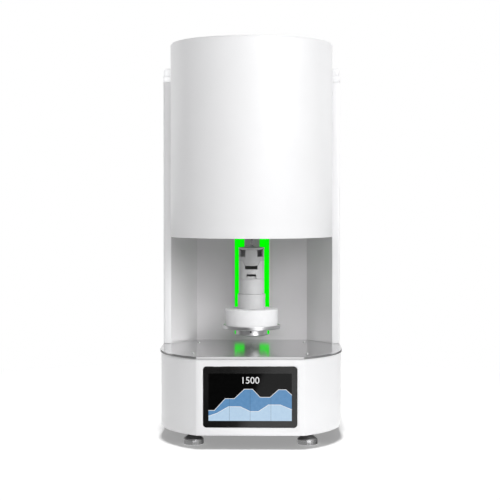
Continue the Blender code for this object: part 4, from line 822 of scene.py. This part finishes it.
def make_deck():
    low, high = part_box("deck_plate")
    deck = prism(
        "brushed_deck", [base_outline(LIP_WALL - DECK_OVERHANG, high.y)], high.z - SHEET, high.z
    )
    half = high_of("chassis_plate").x + WELL_GAP
    back = high_of("chassis_plate").y + WELL_GAP
    opening = rounded_box(
        half * 2, back - WELL_FRONT_Y, WELL_CORNER, (0, (back + WELL_FRONT_Y) / 2)
    )
    cut(deck, prism("well", [opening], high.z - WELL_REACH, high.z + WELL_REACH))
    dress(smooth(deck, 30), "brushed_steel", hides=["deck_plate"])
    outer = -DECK_OVERHANG
    inner = outer + LIP_WALL
    crest = [(outer + LIP_LEAN + inward, high.z - drop) for inward, drop in LIP_CREST]
    profile = [(outer, low.z), *crest, (inner, high.z), (inner, low.z)]
    lip = rim_along("polished_deck_lip", high.y, profile)
    dress(smooth(lip, 28), "lip_steel", "cabinet")
    places = [(side * DECK_SCREWS_X, along, high.z) for side in (-1, 1) for along in DECK_SCREWS_Y]
    screw_set("deck_screws", places, "+Z", 0.0023, 0.0016, "steel")


def make_feet():
    for node in FEET:
        end, side = node.split("_")[1:]
        body = f"{end}_{side}_foot"
        top = high_of(node).z
        centre, radius = plan_circle(node)
        cone = [
            (0, top, 0), (FOOT_STEM, top, 0.0006), (FOOT_STEM, 0.0215, 0),
            (FOOT_COLLAR, 0.0215, 0.0006), (FOOT_COLLAR, 0.0192, 0.0010),
            (radius - 0.0010, 0.0104, 0.0006), (radius - 0.0010, 0.0020, 0), (0, 0.0020, 0),
        ]
        foot = lathe("turned_" + node, cone, FOOT_SIDES, centre)
        dress(smooth(foot), "cone_steel", body, [node])
        disc = [
            (0, 0.0098, 0), (radius - 0.0006, 0.0098, 0.0003), (radius, 0.0092, 0.0004),
            (radius, 0.0004, 0.0003), (radius - 0.0005, 0, 0), (0, 0, 0),
        ]
        dress(smooth(lathe("disc_" + node, disc, FOOT_SIDES, centre)), "chrome", body)


# Touch screen

DISPLAY_WIDTH = 0.1542
DISPLAY_HEIGHT = 0.0879
DISPLAY_STEP = 0.00006
# Shares of the display's width and height
CURVE_SHARES = (
    (0.0, 0.22), (0.07, 0.22), (0.20, 0.47), (0.31, 0.47), (0.43, 0.67), (0.53, 0.67),
    (0.62, 0.50), (0.74, 0.50), (0.84, 0.66), (0.93, 0.66), (1.0, 0.55),
)
LOWER_SHARES = (
    (0.0, 0.10), (0.10, 0.16), (0.24, 0.30), (0.38, 0.30), (0.50, 0.20), (0.60, 0.20),
    (0.72, 0.34), (0.86, 0.34), (1.0, 0.24),
)
LINE_WIDTH = 0.0009
GRID_WIDTH = 0.0004
GRID_SHARES = (0.25, 0.5, 0.75)
LABEL = "1500"
LABEL_SHARE = (0.5, 0.85)
LABEL_HEIGHT_SHARE = 0.20


def height_at(curve, share):
    """The height of a curve of (across, up) points at one place across."""
    for (left, start), (right, end) in zip(curve, curve[1:]):
        if left <= share <= right:
            return start + (end - start) * (share - left) / (right - left)
    return curve[-1][1]


def display_point(share):
    return (
        (share[0] - 0.5) * DISPLAY_WIDTH,
        middle_of("screen_glass").z + (share[1] - 0.5) * DISPLAY_HEIGHT,
    )


def display_panel(name, outlines, level, finish):
    """Flat drawn shapes on the display, a little in front of the level below."""
    back = low_of("screen_glass").y - DISPLAY_STEP * (level - 1)
    dress(prism(name, outlines, back - DISPLAY_STEP, back, "Y"), finish, "cabinet")


def strip(start, end, width):
    """A straight line of a width, as an outline."""
    start, end = Vector(start), Vector(end)
    side = (end - start).orthogonal().normalized() * width / 2
    along = (end - start).normalized() * width / 2
    return [
        tuple(start - along + side), tuple(end + along + side),
        tuple(end + along - side), tuple(start - along - side),
    ]


def text_mesh(words, centre, height):
    curve = bpy.data.curves.new("label", "FONT")
    curve.body = words
    curve.align_x = "CENTER"
    curve.align_y = "CENTER"
    curve.size = height
    curve.resolution_u = 6
    obj = add_object("label", curve)
    mesh = evaluated_mesh(obj)
    remove(obj)
    mesh.transform(Matrix.Rotation(math.radians(90), 4, "X"))
    mesh.transform(Matrix.Translation((centre[0], 0, centre[1])))
    return add_object("label", mesh)


def make_screen():
    low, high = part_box("screen_glass")
    outline = rounded_box(
        high.x - low.x, high.z - low.z, 0.006, (0, middle_of("screen_glass").z), 12
    )
    glass = prism("touch_glass", [outline], low.y, high.y, "Y")
    dress(soften(glass, 0.0007, 50, 3), "glass_black", hides=["screen_glass"])
    centre = display_point((0.5, 0.5))
    field = rounded_box(DISPLAY_WIDTH, DISPLAY_HEIGHT, 0.0008, centre, 3)
    display_panel("display_field", [field], 1, "display_black")
    for name, shares, level, finish in (
        ("display_upper_curve", CURVE_SHARES, 2, "display_blue"),
        ("display_lower_curve", LOWER_SHARES, 3, "display_pale"),
    ):
        outline = [(shares[0][0], 0.0), *shares, (shares[-1][0], 0.0)]
        display_panel(name, [[display_point(p) for p in reversed(outline)]], level, finish)
    lines = [
        strip(display_point(a), display_point(b), LINE_WIDTH)
        for shares in (CURVE_SHARES, LOWER_SHARES)
        for a, b in zip(shares, shares[1:])
    ]
    display_panel("display_lines", lines, 4, "display_white")
    grid = [
        strip(
            display_point((share, 0.0)), display_point((share, height_at(CURVE_SHARES, share))),
            GRID_WIDTH,
        )
        for share in GRID_SHARES
    ]
    display_panel("display_grid", grid, 5, "display_grid")
    label = text_mesh(LABEL, display_point(LABEL_SHARE), LABEL_HEIGHT_SHARE * DISPLAY_HEIGHT)
    numbers = joined("display_numbers", [label])
    numbers.data.transform(Matrix.Translation((0, low.y - 4 * DISPLAY_STEP, 0)))
    dress(numbers, "display_white", "cabinet")


# Furnace head

HEAD_RIM = 0.012
VENT_SIZE = (0.043, 0.0036)
VENT_RING = 0.0965
VENT_COUNT = 20
COVER_SCREW_RING = 0.147
COVER_SCREW_COUNT = 6
COVER_RECESS = 0.0012


def make_head():
    low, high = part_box("head_shell")
    radius, inner, rim = high.x, high.x - SHEET, high.x - HEAD_RIM
    under = high.z - SHEET
    profile = [
        (radius, high.z, 0.0012), (radius, low.z, 0.0005), (inner, low.z, 0.0005),
        (inner, under, 0), (rim, under, 0), (rim, high.z, 0.0004),
    ]
    turned_piece(
        "painted_head_shell", "head_shell", profile, "white_paint", "cabinet", steps=256
    )
    low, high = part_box("head_top_cover")
    cover = drum("vented_top_cover", "head_top_cover", 0.0010, 0, 192)
    slot = rounded_box(*VENT_SIZE, 0.0017, (VENT_RING, 0), 5)
    vents = [
        turned(
            prism("vent", [slot], low.z - THROUGH, high.z + THROUGH),
            2 * math.pi * index / VENT_COUNT,
        )
        for index in range(VENT_COUNT)
    ]
    turns = [math.pi / 6 + math.pi / 3 * i for i in range(COVER_SCREW_COUNT)]
    spots = [(COVER_SCREW_RING * math.cos(t), COVER_SCREW_RING * math.sin(t)) for t in turns]
    sunk = high.z - COVER_RECESS
    discs = [circle(0.0040, spot, 32) for spot in spots]
    recesses = prism("recesses", discs, sunk, high.z + THROUGH)
    cut(cover, joined("vents", vents), recesses)
    dress(soften(cover, 0.0004, 50), "white_paint", hides=["head_top_cover"])
    places = [(*spot, sunk) for spot in spots]
    screw_set("top_cover_screws", places, "+Z", 0.0037, COVER_RECESS, "steel", dome=False)


# Platform and crucible stack

TUBE_RADIUS = 0.0254
CRUCIBLE_WALL = 0.004
CUT_OVERRUN = 0.004
SET_SCREW_X = -0.001
SET_SCREW_DROP = 0.0045
# Distances from the hub's side in to the set screw's seat and to its face
SET_SCREW_SEAT = 0.004
SET_SCREW_FACE = 0.0012


def make_platform():
    high = high_of("platform_hub")
    side, seat, face = -high.x, SET_SCREW_SEAT - high.x, SET_SCREW_FACE - high.x
    spot = (SET_SCREW_X, high.z - SET_SCREW_DROP)
    hub = drum("polished_hub", "platform_hub", 0.0004, 0.0030)
    profile = [(0, seat, 0), (0.0019, seat, 0), (0.0019, side - 0.002, 0), (0, side - 0.002, 0)]
    cut(hub, lathe("set_screw_hole", profile, 24, spot, "Y"))
    dress(smooth(hub), "satin_steel", "lift", ["platform_hub"])
    profile = [
        (0, seat, 0), (0.0018, seat, 0), (0.0018, face, 0.0003), (0.0009, face, 0),
        (0.0009, face + 0.0014, 0), (0, face + 0.0014, 0),
    ]
    dress(smooth(lathe("hub_set_screw", profile, 24, spot, "Y")), "dark_steel", "lift")

    low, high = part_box("platform_flange")
    radius, rim, floor = high.x, high.x - 0.0036, low.z + 0.0032
    profile = [
        (0, floor, 0), (rim, floor, 0.0006), (rim, high.z, 0.0012),
        (radius, high.z, 0.0012), (radius, low.z, 0.0014), (0, low.z, 0),
    ]
    turned_piece("polished_flange", "platform_flange", profile, "satin_steel")

    plug = drum("fibre_plug", "insulating_plug", 0.0020, 0.0006)
    dress(smooth(plug), "fibre", "lift", hides=["insulating_plug"])

    low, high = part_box("pedestal_base")
    radius, spigot, shoulder = high.x, TUBE_RADIUS - 0.006, low.z + 0.0295
    profile = [
        (0, high.z, 0), (spigot, high.z, 0.0006), (spigot, shoulder, 0),
        (radius, shoulder, 0.0007), (radius, low.z, 0.0005), (0, low.z, 0),
    ]
    turned_piece("ceramic_pedestal", "pedestal_base", profile, "ceramic")

    low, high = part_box("pedestal_tube")
    top = low.z + 0.0301
    profile = [
        (0.0209, high.z, 0.0004), (0.0209, top, 0), (TUBE_RADIUS, top, 0.0005),
        (TUBE_RADIUS, low.z, 0.0005), (0.0199, low.z, 0), (0.0199, high.z, 0),
    ]
    turned_piece("ceramic_tube", "pedestal_tube", profile, "ceramic")


# Height of the teeth that the two crucibles meet with, and thickness of their floors
TOOTH = 0.0094
CRUCIBLE_FLOOR = 0.0032
LOWER_FLOOR_RISE = 0.0106
# Half widths of the lower crucible's notches, from the narrow end to the wide end
NOTCH_HALVES = (0.0125, 0.0174)
NOTCH_DROP = 0.0067
FOOT_NOTCH_HALVES = (0.0086, 0.0112)
FOOT_NOTCH_RISE = 0.0095
# Half widths of the upper crucible's tooth and windows, and the windows' drop, flare and turn
TOOTH_HALVES = (0.0121, 0.0170)
WINDOW_HALVES = (0.0082, 0.0104)
WINDOW_DROP = 0.0150
WINDOW_FLARE = 0.0045
WINDOW_TURN = math.radians(47)


def cup(name, low, high, floor):
    inner = TUBE_RADIUS - CRUCIBLE_WALL
    floor_top = floor + CRUCIBLE_FLOOR
    profile = [
        (0, floor_top, 0), (inner, floor_top, 0.0008), (inner, high, 0.0004),
        (TUBE_RADIUS, high, 0.0005), (TUBE_RADIUS, low, 0.0005), (inner, low, 0),
        (inner, floor, 0), (0, floor, 0),
    ]
    return lathe(name, profile, 128)


def run_on(near, far, rise):
    """The half width that a sloping side has when it runs on past the wall that it cuts."""
    return far + (far - near) / rise * CUT_OVERRUN


def wall_cutter(outline, angle=0.0, back=TUBE_RADIUS + CUT_OVERRUN):
    """A prism along Y through a crucible's front wall, and its rear wall if it reaches that far."""
    front = -TUBE_RADIUS - CUT_OVERRUN
    return turned(prism("wall_cutter", [outline], front, back, "Y"), angle)


def make_lower_crucible():
    low, high = low_of("crucible_lower").z, high_of("crucible_lower").z
    crucible = cup("ceramic_crucible_lower", low, high, low + LOWER_FLOOR_RISE)
    half = NOTCH_HALVES[0]
    wide, above = run_on(*NOTCH_HALVES, TOOTH), high + CUT_OVERRUN
    tip = high - TOOTH
    notch = [
        (-half, tip - NOTCH_DROP), (half, tip - NOTCH_DROP), (half, tip), (wide, above),
        (-wide, above), (-half, tip),
    ]
    half, top = FOOT_NOTCH_HALVES[0], low + FOOT_NOTCH_RISE
    wide, below = run_on(*FOOT_NOTCH_HALVES, FOOT_NOTCH_RISE), low - CUT_OVERRUN
    foot_notch = [(-wide, below), (wide, below), (half, top), (-half, top)]
    cut(crucible, wall_cutter(notch, back=0.0), wall_cutter(foot_notch, back=0.0))
    dress(soften(crucible, 0.0003, 40), "ceramic", "lower_crucible", hides=["crucible_lower"])


def make_upper_crucible():
    tip, high = low_of("crucible_upper").z, high_of("crucible_upper").z
    low = tip + TOOTH
    crucible = cup("ceramic_crucible_upper", tip, high, low)
    narrow, wide = TOOTH_HALVES
    narrow, below = run_on(wide, narrow, TOOTH), tip - CUT_OVERRUN
    reach = TUBE_RADIUS + CUT_OVERRUN
    tools = [
        wall_cutter([
            (side * reach, low), (side * wide, low), (side * narrow, below), (side * reach, below),
        ])
        for side in (-1, 1)
    ]
    half, floor, flare = WINDOW_HALVES[0], high - WINDOW_DROP, high - WINDOW_FLARE
    wide, above = run_on(*WINDOW_HALVES, WINDOW_FLARE), high + CUT_OVERRUN
    window = [
        (-half, floor), (half, floor), (half, flare), (wide, above), (-wide, above),
        (-half, flare),
    ]
    tools += [wall_cutter(window, side * WINDOW_TURN, 0.0) for side in (-1, 1)]
    cut(crucible, *tools)
    soften(crucible, 0.0003, 40)
    # The upper crucible takes the darker ceramic, which paints in the head's shadow on it
    dress(crucible, "head_shaded_ceramic", "upper_crucible", ["crucible_upper"])


def make_lid():
    low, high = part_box("crucible_lid")
    radius, inner = high.x, TUBE_RADIUS - CRUCIBLE_WALL - 0.0005
    rest = high.z - 0.0030
    profile = [
        (0, high.z, 0), (radius, high.z, 0.0008), (radius, rest, 0.0004),
        (inner, rest, 0), (inner, low.z, 0.0003), (0, low.z, 0),
    ]
    # The lid takes the same darker ceramic, painted shade from the head above it
    turned_piece("ceramic_lid", "crucible_lid", profile, "head_shaded_ceramic", "lid")


# Slot lips and sealing bead

SLOT_HALF = 0.0022
SLOT_EDGE = 0.0007
BEAD = 0.0006
BEAD_HEIGHT = 0.0014
LINER_FOOT = 0.0005


def make_slot_lips():
    """The two rubber lips that close the arm's slot, with a rounded sealing edge."""
    for side_name, side in (("left", -1), ("right", 1)):
        node = "slot_lip_" + side_name
        low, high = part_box(node)
        near, far = side * SLOT_HALF, side * max(abs(low.x), abs(high.x))
        corners = [
            (near, low.y, SLOT_EDGE), (far, low.y, 0), (far, high.y, 0), (near, high.y, SLOT_EDGE)
        ]
        outline = [tuple(spot) for spot in fillet(corners, 4)]
        lip = prism("rubber_" + node, [outline], low.z, high.z)
        dress(smooth(lip), "grey_rubber", hides=[node])


def make_liner_bead():
    """The sealing bead between the deck and the foot of the bay's liner."""
    top = low_of("alcove_liner").z + LINER_FOOT
    spots = spots_of("alcove_liner")
    foot = sorted({(round(v.x, 5), round(v.y, 5)) for v in spots if v.z < top})
    wall = [min(foot[i:i + 2], key=lambda spot: spot[1]) for i in range(0, len(foot), 2)]
    form = [Vector(spot) for spot in wall]
    ways = [(after - before).normalized() for before, after in zip(form, form[1:])]
    inner = []
    for number, spot in enumerate(form):
        first = ways[max(number - 1, 0)]
        second = ways[min(number, len(ways) - 1)]
        across = Vector((first.y + second.y, -first.x - second.x)).normalized()
        inner.append(spot + across * BEAD / across.dot(Vector((second.y, -second.x))))
    outline = [tuple(spot) for spot in form + inner[::-1]]
    deck = high_of("deck_plate").z
    bead = prism("liner_bead", [outline], deck, deck + BEAD_HEIGHT)
    dress(bead, "bay_paint", "cabinet")


# Rear face

LOUVRE_SIZE = (0.084, 0.0036)
LOUVRE_X = 0.068
LOUVRE_PITCH = 0.012
LOUVRE_ROWS = 7
LOUVRE_STARTS = (0.250, 0.600)
# Across and up from the back of each louvre, the outline of the blade in it
BLADE = ((0.0, 0.0002), (0.0, 0.0010), (-0.0050, 0.0056), (-0.0050, 0.0048))
BLADE_MARGIN = 0.0005
COVER_SCREWS_X = 0.1560
COVER_SCREW_MARGIN = 0.010
REAR_RECESS = 0.0009
GUARD_RINGS = (0.0100, 0.0180, 0.0260, 0.0340)
GUARD_WIRE = 0.0009
GUARD_CLEARANCE = 0.0001
SPOKE_WIDTH = 0.0018
SPOKE_HALF = 0.0007
EYE_RADIUS = 0.0038
EYE_TOP = 0.0009
FAN_HOLE_HALF = 0.03575
PANEL_SCREW_MARGIN = 0.010
PANEL_SCREW_DROP = 0.012
# Across and up from the inlet's middle, and their depths behind its face
INLET_PINS = ((-0.007, -0.002), (0.007, -0.002), (0.0, 0.002))
PIN_DEPTHS = (0.0139, 0.0028)
PIN_SIZE = (0.0020, 0.0040)


def make_rear_cover():
    low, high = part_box("rear_cover")
    outline = rounded_box(
        high.x - low.x, high.z - low.z, 0.003, (0, (low.z + high.z) / 2)
    )
    cover = prism("louvred_rear_cover", [outline], low.y, high.y, "Y")
    rows = [start + LOUVRE_PITCH * row for start in LOUVRE_STARTS for row in range(LOUVRE_ROWS)]
    slots = [
        rounded_box(*LOUVRE_SIZE, 0.0017, (side * LOUVRE_X, row + LOUVRE_SIZE[1] / 2), 5)
        for row in rows for side in (-1, 1)
    ]
    foot = low.z + COVER_SCREW_MARGIN
    span = high.z - low.z - 2 * COVER_SCREW_MARGIN
    spots = [
        (side * COVER_SCREWS_X, foot + span * share)
        for side in (-1, 1) for share in (0.0, 1 / 3, 2 / 3, 1.0)
    ]
    sunk = high.y - REAR_RECESS
    discs = [circle(0.0036, spot, 32) for spot in spots]
    cut(
        cover,
        prism("slots", slots, low.y - THROUGH, high.y + THROUGH, "Y"),
        prism("recesses", discs, sunk, high.y + THROUGH, "Y"),
    )
    dress(soften(cover, 0.0004, 50), "white_paint", hides=["rear_cover"])
    places = [(x, sunk, z) for x, z in spots]
    screw_set("rear_cover_screws", places, "+Y", 0.0033, REAR_RECESS, "steel", dome=False)
    blades = [[(low.y + across, row + up) for across, up in BLADE] for row in rows]
    half = LOUVRE_SIZE[0] / 2 - BLADE_MARGIN
    hoods = [
        prism("hoods", blades, side * LOUVRE_X - half, side * LOUVRE_X + half, "X")
        for side in (-1, 1)
    ]
    dress(joined("louvre_blades", hoods), "white_paint")


def make_fan_guard():
    low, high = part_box("fan_frame")
    centre = ((low.x + high.x) / 2, (low.z + high.z) / 2)
    face = high_of("base_rear_panel").y
    wire_y = face + GUARD_WIRE + GUARD_CLEARANCE
    parts = []
    for ring in GUARD_RINGS:
        section = [(*spot, 0) for spot in circle(GUARD_WIRE, (ring, wire_y), 10)]
        parts.append(lathe("ring", section, 72, centre, "Y"))
    corners = [
        (centre[0] + side * FAN_HOLE_HALF, centre[1] + up * FAN_HOLE_HALF)
        for side in (-1, 1) for up in (-1, 1)
    ]
    middle = Vector(centre)
    spokes = [
        strip(middle + (Vector(c) - middle).normalized() * GUARD_RINGS[0], c, SPOKE_WIDTH)
        for c in corners
    ]
    parts.append(prism("spokes", spokes, wire_y - SPOKE_HALF, wire_y + SPOKE_HALF, "Y"))
    eyes = [circle(EYE_RADIUS, c, 24) for c in corners]
    parts.append(prism("eyes", eyes, face + GUARD_CLEARANCE, face + EYE_TOP, "Y"))
    dress(smooth(joined("fan_guard", parts)), "chrome")
    places = [(x, face + EYE_TOP, z) for x, z in corners]
    screw_set("fan_guard_screws", places, "+Y", 0.0029, 0.0013, "dark_steel")


def make_rear_fittings():
    low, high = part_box("base_rear_panel")
    spots = [
        (side * (high.x - PANEL_SCREW_MARGIN), high.y, up)
        for side in (-1, 1) for up in (low.z + PANEL_SCREW_MARGIN, high.z - PANEL_SCREW_DROP)
    ]
    screw_set("rear_panel_screws", spots, "+Y", 0.0030, 0.0014, "steel")
    low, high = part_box("power_inlet")
    middle_x, middle_z = (low.x + high.x) / 2, (low.z + high.z) / 2
    pins = [
        rounded_box(*PIN_SIZE, 0.0004, (middle_x + across, middle_z + up), 3)
        for across, up in INLET_PINS
    ]
    back, tip = (high.y - depth for depth in PIN_DEPTHS)
    blades = prism("inlet_pins", pins, back, tip, "Y")
    dress(soften(blades, 0.0003, 50), "steel")


# Rocker marks

MARK_REACH = 0.0021
RING_HOLE = 0.0015
BAR_HALF = 0.0003
MARK_LIFT = 0.00006
MARK_THICKNESS = 0.00004


def mark_faces(form, ring):
    if ring:
        inner, outer = (
            [form.verts.new((*spot, 0)) for spot in circle(reach, steps=32)]
            for reach in (RING_HOLE, MARK_REACH)
        )
        band(form, outer, inner)
    else:
        form.faces.new([
            form.verts.new((side * BAR_HALF, up * MARK_REACH, 0))
            for side, up in ((-1, -1), (1, -1), (1, 1), (-1, 1))
        ])


def make_rocker_marks():
    """A bar and a ring inlaid in the rocker's two faces."""
    spots = spots_of("power_rocker")
    middle_x = sum(spot.x for spot in spots) / len(spots)
    marks = []
    for up, ring in ((1, False), (-1, True)):
        ends = sorted(
            {(round(spot.y, 6), round(spot.z, 6)) for spot in spots}, key=lambda end: end[1] * up
        )
        middle_z = sum(end[1] for end in ends) / len(ends)
        tip = Vector((0, *max(ends[-2:], key=lambda end: end[0])))
        inner = Vector((0, *min(ends, key=lambda end: (abs(end[1] - middle_z), -end[0]))))
        along = (tip - inner).normalized()
        out = Vector((0, along.z, -along.y))
        if out.y < 0:
            out.negate()
        form = bmesh.new()
        mark_faces(form, ring)
        place = Matrix(((1, 0, 0), along * up, out)).transposed().to_4x4()
        centre = (tip + inner) / 2 + out * MARK_LIFT
        place.translation = (middle_x, centre.y, centre.z)
        bmesh.ops.solidify(form, geom=form.faces[:], thickness=MARK_THICKNESS)
        bmesh.ops.transform(form, matrix=place, verts=form.verts)
        marks.append(to_object("mark", form))
    dress(joined("rocker_marks", marks), "mark_white", "rocker")


# Lift screw

THREAD_LEAD = 0.008
THREAD_STARTS = 2
THREAD_DEPTH = 0.0009
THREAD_STEP = 0.0005
THREAD_SIDES = 32
# How far the thread's wave is cut off to give it flat crests and roots
THREAD_FLATNESS = 1.6
PLAIN_FOOT = 0.020
PLAIN_TOP = 0.022


def make_thread():
    """The lead screw with its thread, between plain ends."""
    low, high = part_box("lead_screw")
    centre, radius = plan_circle("lead_screw")
    form = bmesh.new()
    start, end = low.z + PLAIN_FOOT, high.z - PLAIN_TOP
    heights = [low.z, start]
    heights += [start + THREAD_STEP * i for i in range(1, int((end - start) / THREAD_STEP))]
    heights += [end, high.z]
    rings = []
    for height in heights:
        ring = []
        for step in range(THREAD_SIDES):
            turn = 2 * math.pi * step / THREAD_SIDES
            wave = math.cos(THREAD_STARTS * (2 * math.pi * height / THREAD_LEAD - turn))
            depth = THREAD_DEPTH * (0.5 - max(-1.0, min(1.0, wave * THREAD_FLATNESS)) / 2)
            reach = radius - (depth if start <= height <= end else 0.0)
            ring.append(form.verts.new((
                centre[0] + reach * math.cos(turn), centre[1] + reach * math.sin(turn), height
            )))
        rings.append(ring)
    close_rings(form, rings)
    dress(smooth(to_object("threaded_screw", form), 50), "steel", "screw", hides=["lead_screw"])


# The pieces whose shape is already right

WELD_WITHIN = 0.00001
FLAT_WITHIN = math.radians(0.5)
# Radius of the rounding that their sharp edges get
EDGES = {
    "column_side_left": 0.0004, "column_side_right": 0.0004, "column_trim_band": 0.0005,
    "column_top_cap": 0.0003, "alcove_liner": 0.0004, "base_rear_panel": 0.0004,
    "lift_arm": 0.0005, "power_inlet": 0.0005, "switch_housing": 0.0005, "fan_frame": 0.0006,
    "head_bottom_plate": 0.0004, "chassis_plate": 0.0004, "control_board": 0.0002,
    "power_rocker": 0.0004,
}


def dress_frame():
    """Gives each node the finish of its slot, joins its split corners and rounds sharp edges."""
    for name, obj in cad.items():
        slot = obj.data.materials[0].name.split(".")[0]
        obj.data.materials.clear()
        obj.data.materials.append(finishes[slot])
        weld = obj.modifiers.new("weld", "WELD")
        weld.merge_threshold = WELD_WITHIN
        if name in EDGES:
            flat = obj.modifiers.new("flat", "DECIMATE")
            flat.decimate_type = "DISSOLVE"
            flat.angle_limit = FLAT_WITHIN
            soften(obj, EDGES[name])


finishes = make_finishes()
make_camera()
make_world()
make_lamps()
make_floor_lamp(make_floor())
make_cap_lamp()
make_bounce_lamps()
make_slot_lamp()
make_flags()
dress_frame()
make_skirt()
make_deck()
make_feet()
make_screen()
make_head()
make_platform()
make_lower_crucible()
make_upper_crucible()
make_lid()
make_slot_lips()
make_liner_bead()
make_rear_cover()
make_fan_guard()
make_rear_fittings()
make_rocker_marks()
make_thread()
for node in ("light_bar_left", "light_bar_right"):
    cad[node].visible_diffuse = False

scene.view_settings.view_transform = "Standard"
